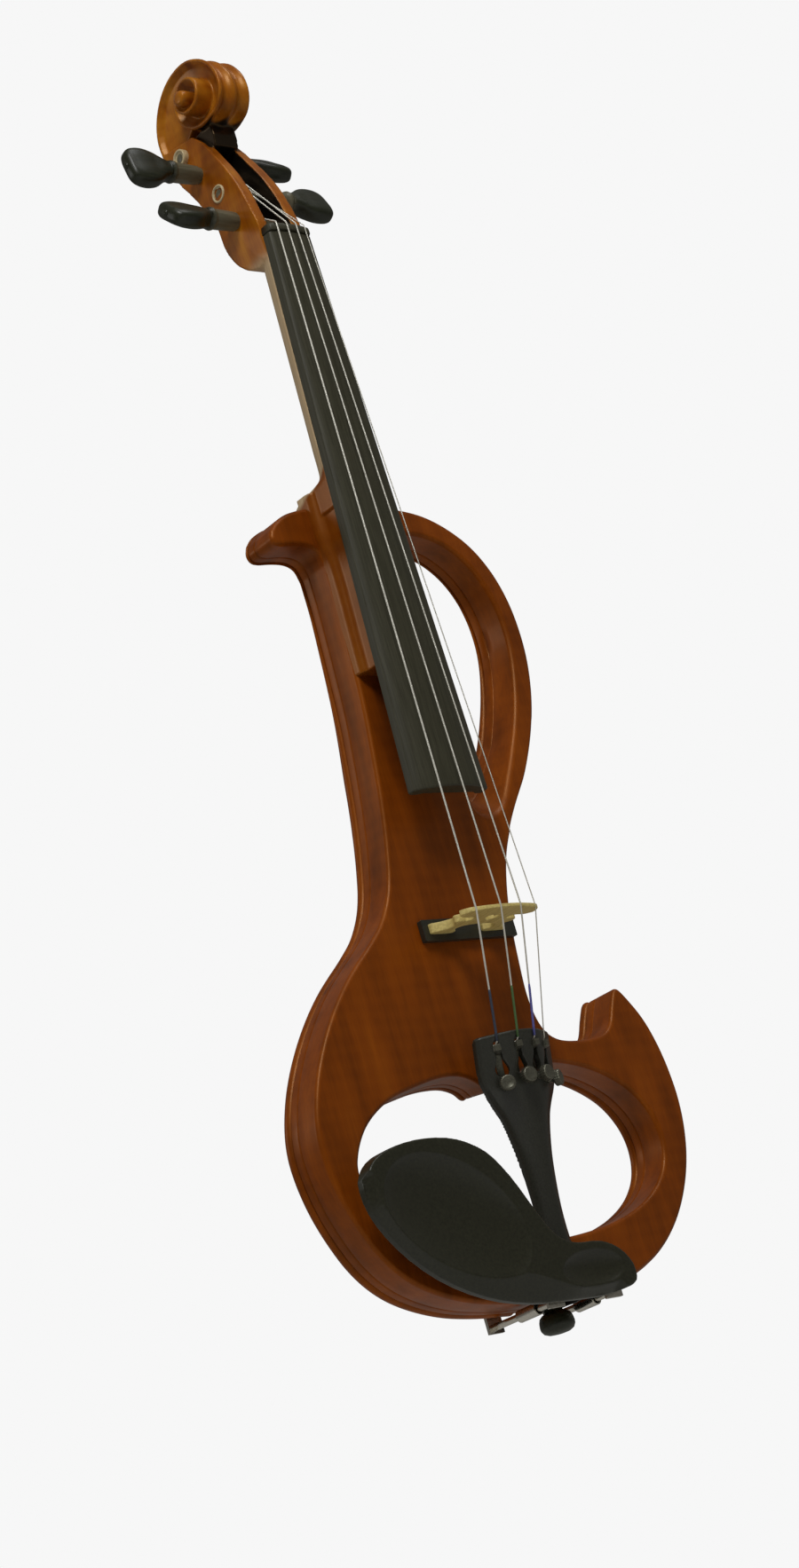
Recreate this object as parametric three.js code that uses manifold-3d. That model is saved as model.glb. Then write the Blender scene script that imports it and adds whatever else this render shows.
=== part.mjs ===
// Electric violin, 4/4 size, with an open wooden body.
// Millimetres. +Z runs from the tail to the scroll, -Y is the player's front, +X the treble side.
// The origin is the tail end of the body, on the centre line of its front face.
import * as THREE from 'three';
import { mergeVertices } from 'three/addons/utils/BufferGeometryUtils.js';
import Module from 'manifold-3d';

// ---- driving dimensions ----
const CORE_DEPTH = 18;                  // body core, front face to its joint with the back plate
const BACK_DEPTH = 5;                   // back plate
const BACK_OVERHANG = 0.6;              // back plate beyond the core, all round
const BODY_TOP = 361;                   // top edge of the body above its tail end
const BRIDGE_Z = 160;
const NUT_Z = BRIDGE_Z + 326;
const BOARD_END_Z = BRIDGE_Z + 56;      // open end of the fingerboard
const BOARD_RADIUS = 42;                // crown of fingerboard, nut and bridge
const BOARD_HALF_AT_NUT = 12;
const BOARD_HALF_AT_END = 21;
const BOARD_SIDE = 5;                   // thickness of the fingerboard's sides
const GLUE_Y_AT_END = -14.4;            // underside of the fingerboard
const GLUE_Y_AT_NUT = -16.7;
const FOOT_END_Z = 278;                 // where the neck's foot stops on the body's front
const FOOT_HALF = 15.2;
const FOOT_RISE = 5;
const NECK_DEPTH = 12.2;                // behind the fingerboard
const HEEL_DEPTH = 33.6;                // the same, where the heel meets the body
const PICKUP_RISE = 3;
const BRIDGE_RISE = 30.2;               // bridge above the pickup bar
const BRIDGE_FOOT = 4.4;                // bridge thickness at its feet
const NUT_LENGTH = 4;
const STRINGS = [
  { note: 'g', nutX: -8.1, bridgeX: -16.8, tailX: -12.85, radius: 0.42 },
  { note: 'd', nutX: -2.7, bridgeX: -5.6, tailX: -4.5, radius: 0.38 },
  { note: 'a', nutX: 2.7, bridgeX: 5.6, tailX: 4.5, radius: 0.35 },
  { note: 'e', nutX: 8.1, bridgeX: 16.8, tailX: 12.85, radius: 0.25 },
];
const PEGS = {                          // axis height and length, end of the thumb piece, its turn
  g: { y: -3.5, z: 501, side: -1, tip: 52, turn: -1.35 },
  d: { y: 12.5, z: 535, side: -1, tip: 52.5, turn: -0.2 },
  a: { y: 20.5, z: 549, side: 1, tip: 48.5, turn: -0.85 },
  e: { y: 2, z: 519, side: 1, tip: 50.5, turn: -0.42 },
};
const PEG_HOLE_R = 4.4;
const CHEEK_HALF = 13;                  // pegbox at its widest
const TAIL_TOP_Z = 109;
const TAIL_END_Z = 8;
const TAIL_END_Y = -6;                  // crown of the tailpiece at its tail end
const TAIL_THICK = 3.6;
const TAIL_UNDER_Y = -1.6;              // nothing of it lies lower than this
const TAIL_ARCH = 24;                   // radius of its cross-section at the strings
const TUNER_SCREW_Z = 89;
const LEVER_DROP = 1.1;                 // tuner levers below the tailpiece's underside
const CHIN_BASE_Y = -14;
const CHIN_TOP_Y = -22;
const CLAMP_Z = -3.3;
const CLAMP_XS = { left: -21, right: 11.5 };
const BUTTON_Y = 11.5;
const BACK_Y = CORE_DEPTH + BACK_DEPTH;
const PANEL = { x: -2, z: 161, width: 48, height: 40, thick: 2.2 };
const PREAMP_BAY = { x: -2, z: 161, width: 40, height: 36, front: 4 };
const BATTERY_BAY = { x: -30, z: 122, width: 53, height: 30, front: 2.5 };

const wasm = await Module();
wasm.setup();
const group = new THREE.Group();

// ---- solids and placing ----
function solid(geometry) {
  geometry.deleteAttribute('normal');
  geometry.deleteAttribute('uv');
  const merged = mergeVertices(geometry, 1e-4);
  const vertProperties = new Float32Array(merged.attributes.position.array);
  const triVerts = new Uint32Array(merged.index.array);
  return new wasm.Manifold(new wasm.Mesh({ numProp: 3, vertProperties, triVerts }));
}

function geometryOf(body) {
  const mesh = body.getMesh();
  const geometry = new THREE.BufferGeometry();
  geometry.setAttribute('position', new THREE.BufferAttribute(mesh.vertProperties, 3));
  geometry.setIndex(new THREE.BufferAttribute(mesh.triVerts, 1));
  return geometry;
}

function joined(...geometries) {
  return geometries.map(solid).reduce((sum, next) => sum.add(next));
}

function cut(body, ...geometries) {
  return geometries.map(solid).reduce((rest, tool) => rest.subtract(tool), body);
}

const LOOKS = {
  varnish: { color: 0x8a3a10, roughness: 0.3, metalness: 0 },
  ebony: { color: 0x17160f, roughness: 0.45, metalness: 0 },
  maple: { color: 0xd8c078, roughness: 0.6, metalness: 0 },
  bone: { color: 0xe2d6ae, roughness: 0.45, metalness: 0 },
  composite: { color: 0x1b1b18, roughness: 0.4, metalness: 0 },
  blackMetal: { color: 0x35332c, roughness: 0.35, metalness: 0.8 },
  nickel: { color: 0xb9b4a4, roughness: 0.25, metalness: 1 },
  steel: { color: 0xc9c6b8, roughness: 0.3, metalness: 1 },
  cork: { color: 0x9a7448, roughness: 0.9, metalness: 0 },
  nylon: { color: 0x14140f, roughness: 0.5, metalness: 0 },
  circuit: { color: 0x1f5a30, roughness: 0.5, metalness: 0 },
  cell: { color: 0x3a3f45, roughness: 0.4, metalness: 0.3 },
};

function add(name, shape, look) {
  const geometry = shape.isBufferGeometry ? shape : geometryOf(shape);
  const mesh = new THREE.Mesh(geometry, new THREE.MeshStandardMaterial(LOOKS[look]));
  mesh.name = name;
  group.add(mesh);
}

function reshape(geometry, move) {
  const position = geometry.attributes.position;
  const point = new THREE.Vector3();
  for (let i = 0; i < position.count; i += 1) {
    point.fromBufferAttribute(position, i);
    move(point);
    position.setXYZ(i, point.x, point.y, point.z);
  }
  return geometry;
}

// a shape drawn in the front view (x, z), as a slab from y0 back to y1
function slab(shape, y0, y1, curveSegments = 2) {
  const options = { depth: y1 - y0, bevelEnabled: false, curveSegments };
  return new THREE.ExtrudeGeometry(shape, options).rotateX(Math.PI / 2).translate(0, y1, 0);
}

// a shape drawn in the side view (y, z), as a slab from x0 to x1
function sideSlab(shape, x0, x1, curveSegments = 2) {
  const options = { depth: x1 - x0, bevelEnabled: false, curveSegments };
  const turn = new THREE.Matrix4().makeBasis(
    new THREE.Vector3(0, 1, 0),
    new THREE.Vector3(0, 0, 1),
    new THREE.Vector3(1, 0, 0),
  );
  return new THREE.ExtrudeGeometry(shape, options).applyMatrix4(turn).translate(x0, 0, 0);
}

// a cross-section drawn in (x, y), run up from z0 to z1
function column(shape, z0, z1, steps = 1, curveSegments = 6) {
  const options = { depth: z1 - z0, bevelEnabled: false, curveSegments, steps };
  return new THREE.ExtrudeGeometry(shape, options).translate(0, 0, z0);
}

function block(x0, x1, y0, y1, z0, z1) {
  const box = new THREE.BoxGeometry(x1 - x0, y1 - y0, z1 - z0);
  return box.translate((x0 + x1) / 2, (y0 + y1) / 2, (z0 + z1) / 2);
}

// a turned piece: its profile holds [radius, distance] pairs along the axis
function turned(profile, axis, sides = 16) {
  const geometry = new THREE.LatheGeometry(profile.map(([r, d]) => new THREE.Vector2(r, d)), sides);
  if (axis === 'x') geometry.rotateZ(-Math.PI / 2);
  if (axis === 'z') geometry.rotateX(Math.PI / 2);
  return geometry;
}

function rod(from, to, radius, sides = 8) {
  const a = new THREE.Vector3(...from);
  const b = new THREE.Vector3(...to);
  const along = b.clone().sub(a).normalize();
  const turn = new THREE.Quaternion().setFromUnitVectors(new THREE.Vector3(0, 1, 0), along);
  const middle = a.clone().add(b).multiplyScalar(0.5);
  return new THREE.CylinderGeometry(radius, radius, a.distanceTo(b), sides)
    .applyQuaternion(turn).translate(middle.x, middle.y, middle.z);
}

// straight runs with a ball at each bend
function wire(points, radius, sides = 6) {
  const pieces = points.slice(1).map((point, i) => rod(points[i], point, radius, sides));
  const bends = points.slice(1, -1).map((p) => new THREE.SphereGeometry(radius, sides, 3).translate(...p));
  return joined(...pieces, ...bends);
}

function curveThrough(shape, points) {
  shape.splineThru(points.map(([u, v]) => new THREE.Vector2(u, v)));
}

function closedCurve(points, divisions) {
  const knots = points.map(([u, v]) => new THREE.Vector3(u, v, 0));
  const curve = new THREE.CatmullRomCurve3(knots, true, 'centripetal');
  return new THREE.Shape(curve.getPoints(divisions).slice(0, -1).map((p) => new THREE.Vector2(p.x, p.y)));
}

// the same outline moved out, or in where the distance is negative
function grown(shape, distance, divisions = 2) {
  const points = shape.extractPoints(divisions).shape;
  if (points[0].distanceTo(points.at(-1)) < 1e-6) points.pop();
  const outward = Math.sign(THREE.ShapeUtils.area(points)) * distance;
  return new THREE.Shape(points.map((point, i) => {
    const before = points.at(i - 1);
    const after = points[(i + 1) % points.length];
    const along = after.clone().sub(before).normalize();
    return new THREE.Vector2(point.x + along.y * outward, point.y - along.x * outward);
  }));
}

// ---- heights that several pieces share ----
function boardHalf(z) {
  return THREE.MathUtils.mapLinear(z, BOARD_END_Z, NUT_Z, BOARD_HALF_AT_END, BOARD_HALF_AT_NUT);
}

function glueY(z) {
  return THREE.MathUtils.mapLinear(z, BOARD_END_Z, NUT_Z, GLUE_Y_AT_END, GLUE_Y_AT_NUT);
}

function crownDrop(x) {
  return BOARD_RADIUS - Math.sqrt(BOARD_RADIUS ** 2 - x ** 2);
}

function boardCrownY(z) {
  return glueY(z) - BOARD_SIDE - crownDrop(boardHalf(z));
}

// ---- body ----
function bodyOutline() {
  const shape = new THREE.Shape();
  shape.moveTo(17, BODY_TOP);
  shape.lineTo(-10, BODY_TOP - 1);
  curveThrough(shape, [[-18, 358.6], [-24, 357.2], [-30, 355.2], [-36.5, 351.4], [-40.3, 347.3]]);
  curveThrough(shape, [[-41.6, 343.4], [-40.2, 340.4], [-36.5, 339.8]]);
  curveThrough(shape, [[-28, 340.4], [-21.5, 339.8], [-17.2, 337], [-15.4, 331]]);
  curveThrough(shape, [
    [-15.2, 318], [-15.8, 298], [-17.2, 268], [-20, 243], [-23.3, 220], [-27.8, 198], [-33.3, 180],
    [-42, 166], [-53, 155.5], [-66, 144.5], [-78, 132], [-89, 117.5], [-98, 102], [-104, 86],
    [-105.7, 72], [-103.4, 56], [-98.4, 41.5], [-90.8, 27.5], [-80.8, 17], [-68, 9.6], [-51, 4],
    [-31, 1], [-12, 0],
  ]);
  shape.lineTo(12, 0);
  curveThrough(shape, [
    [30, 1.5], [46, 6], [62, 14], [76, 26], [87, 41], [94, 57], [97.3, 74], [97, 90],
    [94.5, 104], [90, 116], [82, 128],
  ]);
  curveThrough(shape, [[79.5, 129], [77.5, 127.5]]);
  curveThrough(shape, [
    [73.5, 120], [70, 113.5], [64, 109], [55, 107.5], [45, 107.5], [37, 109], [31.5, 113],
    [28.5, 120], [27.5, 130], [28.5, 143], [30, 156], [32, 168], [35.5, 181], [40.5, 194],
    [47.5, 206], [56, 218], [64.5, 229], [72.5, 242], [79.5, 256], [85, 271], [88.5, 287],
    [89.3, 303], [87.5, 318], [82.5, 332], [74, 344], [62, 353], [49, 358.5], [34, 360.8], [17, BODY_TOP],
  ]);
  return shape;
}

function lowerOpening() {
  return closedCurve([
    [-89.6, 62], [-86.5, 71], [-78.5, 81], [-65, 89.5], [-50, 93.9], [-31, 97.2], [-20.5, 96],
    [-14.2, 92.2], [-11, 88.8], [-8.4, 89.6], [4, 93.8], [14, 97], [27, 98.8], [42, 96.7],
    [57.6, 91], [70.5, 82], [77.6, 71], [79.2, 60], [76, 49], [68, 40], [56, 33], [40, 28],
    [20, 25], [-20, 24], [-45, 27], [-66, 33.5], [-78.5, 41], [-86.3, 50.5],
  ], 72);
}

function upperLoop() {
  return closedCurve([
    [35, 211.5], [30.5, 213.5], [28.5, 218], [28, 226], [25, 240], [21, 258], [18.5, 280],
    [17.5, 305], [18.3, 328], [21.5, 341], [29, 347], [40, 348], [50, 346.5], [60, 342],
    [69, 334], [76, 322], [79.3, 308], [79.3, 293], [76, 277], [71, 262], [63.5, 246],
    [54.5, 229], [47.5, 217.5], [41, 212.5],
  ], 54);
}

function bayCut(bay, y1) {
  const halfX = bay.width / 2;
  const halfZ = bay.height / 2;
  return block(bay.x - halfX, bay.x + halfX, bay.front, y1, bay.z - halfZ, bay.z + halfZ);
}

const PICKUP_LEAD_X = 3;
const buttonHole = rod([0, BUTTON_Y, -5], [0, BUTTON_Y, 22], 4.3, 16);
const core = cut(
  solid(slab(bodyOutline(), 0, CORE_DEPTH)),
  slab(lowerOpening(), -1, CORE_DEPTH + 1),
  slab(upperLoop(), -1, CORE_DEPTH + 1),
  buttonHole,
  bayCut(PREAMP_BAY, CORE_DEPTH + 1),
  bayCut(BATTERY_BAY, CORE_DEPTH + 1),
  rod([PICKUP_LEAD_X, -1, BRIDGE_Z], [PICKUP_LEAD_X, PREAMP_BAY.front + 1, BRIDGE_Z], 1.6),
);
add('body_core', core, 'varnish');

// the back plate thins towards the neck
function backTaper() {
  const shape = new THREE.Shape();
  shape.moveTo(BACK_Y + 0.1, 238);
  shape.lineTo(BACK_Y + 5, 238);
  shape.lineTo(BACK_Y + 5, BODY_TOP + 5);
  shape.lineTo(CORE_DEPTH + 1.2, BODY_TOP + 5);
  shape.lineTo(CORE_DEPTH + 1.2, 312);
  return shape;
}

const backPlate = cut(
  solid(slab(grown(bodyOutline(), BACK_OVERHANG), CORE_DEPTH, BACK_Y)),
  slab(grown(lowerOpening(), -BACK_OVERHANG / 2), CORE_DEPTH - 1, BACK_Y + 1),
  slab(grown(upperLoop(), -BACK_OVERHANG / 2), CORE_DEPTH - 1, BACK_Y + 1),
  bayCut({ ...PREAMP_BAY, front: CORE_DEPTH - 1 }, BACK_Y + 1),
  bayCut({ ...BATTERY_BAY, front: CORE_DEPTH - 1 }, BACK_Y + 1),
  block(-15, 15, CORE_DEPTH - 1, BACK_Y + 1, -3, 0),
  block(-17, 17, CORE_DEPTH - 1, BACK_Y + 1, BODY_TOP - 2, BODY_TOP + 3),
  sideSlab(backTaper(), -60, 110),
);
add('back_plate', backPlate, 'varnish');

// ---- neck, pegbox and scroll, carved as one ----
const SCROLL_EYE = { y: 4, z: 570 };

function neckShaft() {
  const section = new THREE.Shape();
  section.moveTo(-1, 0);
  section.lineTo(1, 0);
  section.bezierCurveTo(0.88, 0.4, 0.5, 0.98, 0, 1);
  section.bezierCurveTo(-0.5, 0.98, -0.88, 0.4, -1, 0);
  const steps = 16;
  const top = NUT_Z - 4;
  return reshape(column(section, 0, 1, steps, 5), (point) => {
    const z = BODY_TOP + (top - BODY_TOP) * point.z ** 2.6;
    const heel = 1 / (1 + ((z - BODY_TOP) / 8) ** 6);
    const fuller = 1 - (1 - Math.abs(point.x)) ** (1 + 1.2 * heel);
    point.x = Math.sign(point.x) * fuller * Math.min(boardHalf(z) - 0.2, FOOT_HALF);
    point.y = glueY(z) + point.y * THREE.MathUtils.lerp(NECK_DEPTH, HEEL_DEPTH, heel);
    point.z = z;
  });
}

function neckFoot() {
  const sole = new THREE.Shape();
  sole.moveTo(-FOOT_HALF, FOOT_END_Z);
  sole.lineTo(FOOT_HALF, FOOT_END_Z);
  sole.lineTo(FOOT_HALF, BODY_TOP + 2);
  sole.lineTo(-FOOT_HALF, BODY_TOP + 2);
  const pedestal = new THREE.Shape();
  pedestal.moveTo(-FOOT_RISE + 1, FOOT_END_Z);
  pedestal.lineTo(glueY(FOOT_END_Z), FOOT_END_Z);
  pedestal.lineTo(glueY(BODY_TOP + 2), BODY_TOP + 2);
  pedestal.lineTo(-FOOT_RISE + 1, BODY_TOP + 2);
  const flare = reshape(sideSlab(pedestal, -1, 1), (point) => {
    point.x *= THREE.MathUtils.mapLinear(point.z, FOOT_END_Z, BODY_TOP + 2, 13.6, FOOT_HALF - 0.2);
  });
  return joined(slab(sole, -FOOT_RISE, 0), flare);
}

function pegboxSide() {
  const shape = new THREE.Shape();
  shape.moveTo(GLUE_Y_AT_NUT, NUT_Z);
  shape.lineTo(GLUE_Y_AT_NUT - 0.6, NUT_Z + NUT_LENGTH + 0.3);
  curveThrough(shape, [[-15, 501], [-12, 515], [-6, 526], [1, 537], [8, 546], [15, 557]]);
  shape.lineTo(33, 551);
  curveThrough(shape, [[28, 540], [21, 529], [14, 516], [10, 505], [9.3, 496], [7.2, 488]]);
  curveThrough(shape, [[3.5, 481.8], [-1.1, 477.4], [-6.7, 475.1], [-12, 474.6]]);
  shape.lineTo(GLUE_Y_AT_NUT, NUT_Z - 0.01);
  return shape;
}

function voluteSide() {
  return closedCurve([
    [33, 550], [36.5, 563], [36.5, 570], [33.5, 578], [28.5, 585], [21, 590], [13, 592],
    [5, 591.5], [-3, 588.5], [-11, 581], [-14.5, 573], [-14.2, 565], [-10, 559], [-2, 556.5],
    [8, 557], [15, 555.5], [22, 549],
  ], 40);
}

function pegboxFront() {
  const shape = new THREE.Shape();
  shape.moveTo(-11.4, 474);
  shape.lineTo(11.4, 474);
  curveThrough(shape, [[12.4, 488], [CHEEK_HALF, 500], [12.6, 520], [11.4, 540], [9.6, 559]]);
  shape.lineTo(-9.6, 559);
  curveThrough(shape, [[-11.4, 540], [-12.6, 520], [-CHEEK_HALF, 500], [-12.4, 488], [-11.4, 474]]);
  return shape;
}

function pegboxHollow() {
  const side = new THREE.Shape();
  side.moveTo(-30, NUT_Z + NUT_LENGTH + 1.5);
  side.lineTo(3.5, NUT_Z + NUT_LENGTH + 1.5);
  curveThrough(side, [[5.5, 507], [9.5, 518], [16, 531], [22.5, 543], [24, 551]]);
  side.lineTo(14, 556);
  side.lineTo(-30, 556);
  return reshape(sideSlab(side, -1, 1), (point) => {
    point.x *= THREE.MathUtils.mapLinear(point.z, NUT_Z, 556, 7.6, 5.4);
  });
}

function head() {
  const box = solid(sideSlab(pegboxSide(), -20, 20)).intersect(solid(slab(pegboxFront(), -40, 60)));
  const turns = [[13, 11.5], [8.5, 15], [4.5, 18.3]].map(([radius, half]) => rod(
    [-half, SCROLL_EYE.y, SCROLL_EYE.z],
    [half, SCROLL_EYE.y, SCROLL_EYE.z],
    radius,
    20,
  ));
  const carved = box.add(joined(sideSlab(voluteSide(), -8, 8), ...turns));
  const holes = Object.values(PEGS).map((p) => rod([-20, p.y, p.z], [20, p.y, p.z], PEG_HOLE_R, 16));
  return cut(carved, pegboxHollow(), ...holes);
}

const nutSeat = block(-20, 20, -40, GLUE_Y_AT_NUT + 0.02, NUT_Z - 0.3, NUT_Z + NUT_LENGTH + 0.3);
add('neck', cut(head().add(solid(neckShaft())).add(neckFoot()), nutSeat), 'varnish');

// ---- fingerboard and nut ----
function crownedSection(half, crown, under) {
  const shape = new THREE.Shape();
  const angle = Math.asin(half / BOARD_RADIUS);
  shape.moveTo(-half, under);
  shape.absarc(0, crown + BOARD_RADIUS, BOARD_RADIUS, -Math.PI / 2 - angle, -Math.PI / 2 + angle, false);
  shape.lineTo(half, under);
  return shape;
}

function fingerboard() {
  const flat = new THREE.Shape();
  const columns = 10;
  flat.moveTo(-1, 0);
  for (let i = 1; i <= columns; i += 1) flat.lineTo(-1 + (2 * i) / columns, 0);
  flat.lineTo(1, 1);
  flat.lineTo(-1, 1);
  return reshape(column(flat, BOARD_END_Z, NUT_Z - 0.3), (point) => {
    const half = boardHalf(point.z);
    const underside = point.y > 0.5;
    point.x *= half;
    point.y = underside ? glueY(point.z) : boardCrownY(point.z) + crownDrop(point.x);
  });
}

add('fingerboard', fingerboard(), 'ebony');

const NUT_CROWN_Y = boardCrownY(NUT_Z) - 0.9;
const nutSection = crownedSection(BOARD_HALF_AT_NUT, NUT_CROWN_Y, GLUE_Y_AT_NUT);
add('nut', column(nutSection, NUT_Z, NUT_Z + NUT_LENGTH), 'ebony');

// ---- bridge on its pickup bar ----
const BRIDGE_TOP_Y = -PICKUP_RISE - BRIDGE_RISE;

function bridgeOutline() {
  const shape = new THREE.Shape();
  const top = 19.2;
  const shoulder = BRIDGE_RISE - crownDrop(top);
  const angle = Math.asin(top / BOARD_RADIUS);
  shape.moveTo(-20.5, 0);
  shape.lineTo(-8.5, 0);
  curveThrough(shape, [
    [-8, 2.2], [-10.5, 4], [-9.5, 7.6], [-5, 9.6], [0, 10], [5, 9.6], [9.5, 7.6], [10.5, 4], [8, 2.2],
    [8.5, 0],
  ]);
  shape.lineTo(20.5, 0);
  curveThrough(shape, [
    [20.3, 2], [16.4, 4.4], [14, 8.6], [16.6, 12], [15.4, 14.6], [11.2, 14.2], [9.4, 16.2], [11.4, 18.4],
    [17, 18.6], [20.6, 20.8],
  ]);
  shape.lineTo(top, shoulder);
  shape.absarc(0, BRIDGE_RISE - BOARD_RADIUS, BOARD_RADIUS, Math.PI / 2 - angle, Math.PI / 2 + angle, false);
  shape.lineTo(-20.6, 20.8);
  curveThrough(shape, [
    [-17, 18.6], [-11.4, 18.4], [-9.4, 16.2], [-11.2, 14.2], [-15.4, 14.6], [-16.6, 12], [-14, 8.6],
    [-16.4, 4.4], [-20.3, 2], [-20.5, 0],
  ]);
  const heart = new THREE.Path();
  heart.moveTo(0, 14);
  heart.bezierCurveTo(3.4, 15.4, 4.6, 18.6, 2.6, 20);
  heart.bezierCurveTo(1.2, 20.8, 0.4, 19.4, 0, 18.6);
  heart.bezierCurveTo(-0.4, 19.4, -1.2, 20.8, -2.6, 20);
  heart.bezierCurveTo(-4.6, 18.6, -3.4, 15.4, 0, 14);
  shape.holes.push(heart);
  return shape;
}

function bridge() {
  const options = { depth: 1, bevelEnabled: false, curveSegments: 2 };
  const plate = new THREE.ExtrudeGeometry(bridgeOutline(), options);
  return reshape(plate, (point) => {
    const height = point.y;
    const thick = THREE.MathUtils.mapLinear(height, 0, BRIDGE_RISE, BRIDGE_FOOT, 1.5);
    point.y = -PICKUP_RISE - height;
    point.z = BRIDGE_Z - BRIDGE_FOOT / 2 + (1 - point.z) * thick;
  });
}

add('bridge', bridge(), 'maple');
add('pickup_bar', block(-23.5, 28.5, -PICKUP_RISE, 0, BRIDGE_Z - 5, BRIDGE_Z + 4.5), 'composite');
const leadTo = [PICKUP_LEAD_X, PREAMP_BAY.front + 0.4, BRIDGE_Z];
add('pickup_lead', rod([PICKUP_LEAD_X, 0.1, BRIDGE_Z], leadTo, 1.1), 'nylon');

// ---- tailpiece and its fine tuners ----
const TAIL_HALVES = [                   // half-width at each height
  [TAIL_END_Z, 9.4], [20, 8.6], [38, 8.6], [47, 9], [55, 9.8], [62, 11.1], [69, 12.9], [75, 15],
  [80, 17.4], [85, 19.4], [90, 20.4], [96, 20.7], [103, 20.7], [TAIL_TOP_Z, 20.6],
];

function tailCrownY(z) {
  return TAIL_END_Y - 0.0274 * Math.max(0, z - 20) ** 1.394;
}

function tailArch(z) {
  return THREE.MathUtils.clamp(THREE.MathUtils.mapLinear(z, 40, 86, 10.6, TAIL_ARCH), 10.6, TAIL_ARCH);
}

function tailY(x, z) {
  const arch = z < 30 ? TAIL_ARCH : tailArch(z);
  const round = Math.min(Math.abs(x), arch / 2);
  const flank = (Math.abs(x) - round) * Math.tan(Math.asin(round / arch));
  return tailCrownY(z) + arch - Math.sqrt(arch ** 2 - round ** 2) + flank;
}

function tailShell() {
  const section = new THREE.Shape();
  const columns = 12;
  section.moveTo(-1, 0);
  for (let i = 1; i <= columns; i += 1) section.lineTo(-1 + (2 * i) / columns, 0);
  for (let i = columns; i >= 0; i -= 1) section.lineTo(-1 + (2 * i) / columns, 1);
  const rows = TAIL_HALVES.length - 1;
  return reshape(column(section, 0, rows, rows), (point) => {
    const [z, half] = TAIL_HALVES[Math.round(point.z)];
    const x = point.x * half;
    const top = tailY(x, z);
    point.set(x, point.y > 0.5 ? Math.min(top + TAIL_THICK, TAIL_UNDER_Y) : top, z);
  });
}

// A tuner's pieces are drawn on the crown, their y measured from it, then swung to their string.
const TUNER_AXIS_Y = tailCrownY(96) + TAIL_ARCH;

function swung(geometry, tailX) {
  const angle = Math.asin(tailX / TAIL_ARCH);
  return geometry.translate(0, -TUNER_AXIS_Y, 0).rotateZ(angle).translate(0, TUNER_AXIS_Y, 0);
}

function onCrown(geometry) {
  return reshape(geometry, (point) => {
    point.y += tailCrownY(point.z);
  });
}

const tuners = STRINGS.map((s) => ({ ...s, screwZ: TUNER_SCREW_Z + (Math.abs(s.tailX) > 9 ? -1.5 : 0) }));
const tailCuts = tuners.flatMap((s) => {
  const slot = block(-2.3, 2.3, -7, 8, 93, 105.5);
  const hole = rod([0, -7, s.screwZ], [0, 8, s.screwZ], 1.7, 12);
  return [swung(onCrown(slot), s.tailX), swung(onCrown(hole), s.tailX)];
});
add('tailpiece', cut(solid(tailShell()), ...tailCuts), 'composite');

function tunerLever(s) {
  const arm = TAIL_THICK + LEVER_DROP;
  const side = new THREE.Shape();
  side.moveTo(-1.2, 104.2);
  side.lineTo(-1.7, 101.6);
  side.lineTo(2.2, 100.6);
  side.lineTo(arm, 96);
  side.lineTo(arm, s.screwZ - 3);
  side.lineTo(arm + 1.5, s.screwZ - 3);
  side.lineTo(arm + 1.5, 99);
  side.lineTo(TAIL_THICK - 0.2, 103.4);
  return swung(onCrown(sideSlab(side, -1.5, 1.5)), s.tailX);
}

function tunerScrew(s) {
  const reach = TAIL_THICK + LEVER_DROP - 0.3;
  const profile = [
    [0, -6], [2.6, -6], [3.3, -5.4], [3.3, -3], [2.6, -2.4], [1.3, -2.4], [1.3, reach], [0, reach],
  ];
  return swung(turned(profile, 'y', 16).translate(0, tailCrownY(s.screwZ), s.screwZ), s.tailX);
}

for (const s of tuners) {
  add(`tuner_lever_${s.note}`, tunerLever(s), 'blackMetal');
  add(`tuner_screw_${s.note}`, tunerScrew(s), 'blackMetal');
}

// ---- strings, tailgut, saddle and end button ----
const STRING_GAP = 0.15;
const BRIDGE_BACK_Z = BRIDGE_Z - BRIDGE_FOOT / 2;
for (const s of STRINGS) {
  const nutY = NUT_CROWN_Y + crownDrop(s.nutX) - s.radius - STRING_GAP;
  const bridgeY = BRIDGE_TOP_Y + crownDrop(s.bridgeX) - s.radius - STRING_GAP;
  const windX = s.nutX * 0.45;
  const route = [
    [windX, PEGS[s.note].y - 4.1, PEGS[s.note].z - 1],
    [s.nutX, nutY, NUT_Z + NUT_LENGTH + 0.2],
    [s.bridgeX, bridgeY, BRIDGE_BACK_Z - 0.1],
    [s.tailX * 1.06, tailY(s.tailX * 1.06, TAIL_TOP_Z) - 0.9, TAIL_TOP_Z],
    [s.tailX * 1.04, tailY(s.tailX * 1.04, 105.2) - 0.8, 105.2],
  ];
  add(`string_${s.note}`, wire(route, s.radius), 'steel');
}

const gutCurve = new THREE.CatmullRomCurve3([
  [-4.6, -3.8, 7.6], [-4.6, -3.7, 4], [-4.9, -2.9, -0.4], [-5.3, 0, -1.5], [-5.3, 9, -1.5],
  [-3.9, 15.4, -1.6], [0, 17, -1.7], [3.9, 15.4, -1.6], [5.3, 9, -1.5], [5.3, 0, -1.5],
  [4.9, -2.9, -0.4], [4.6, -3.7, 4], [4.6, -3.8, 7.6],
].map((p) => new THREE.Vector3(...p)));
const gutSection = new THREE.Shape().absarc(0, 0, 1, 0, 2 * Math.PI);
const gutSweep = { extrudePath: gutCurve, steps: 36, curveSegments: 4 };
add('tailgut', new THREE.ExtrudeGeometry(gutSection, gutSweep), 'nylon');

add('saddle', block(-10.3, 10.3, -2.4, 0, 1, 6.5), 'ebony');

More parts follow.
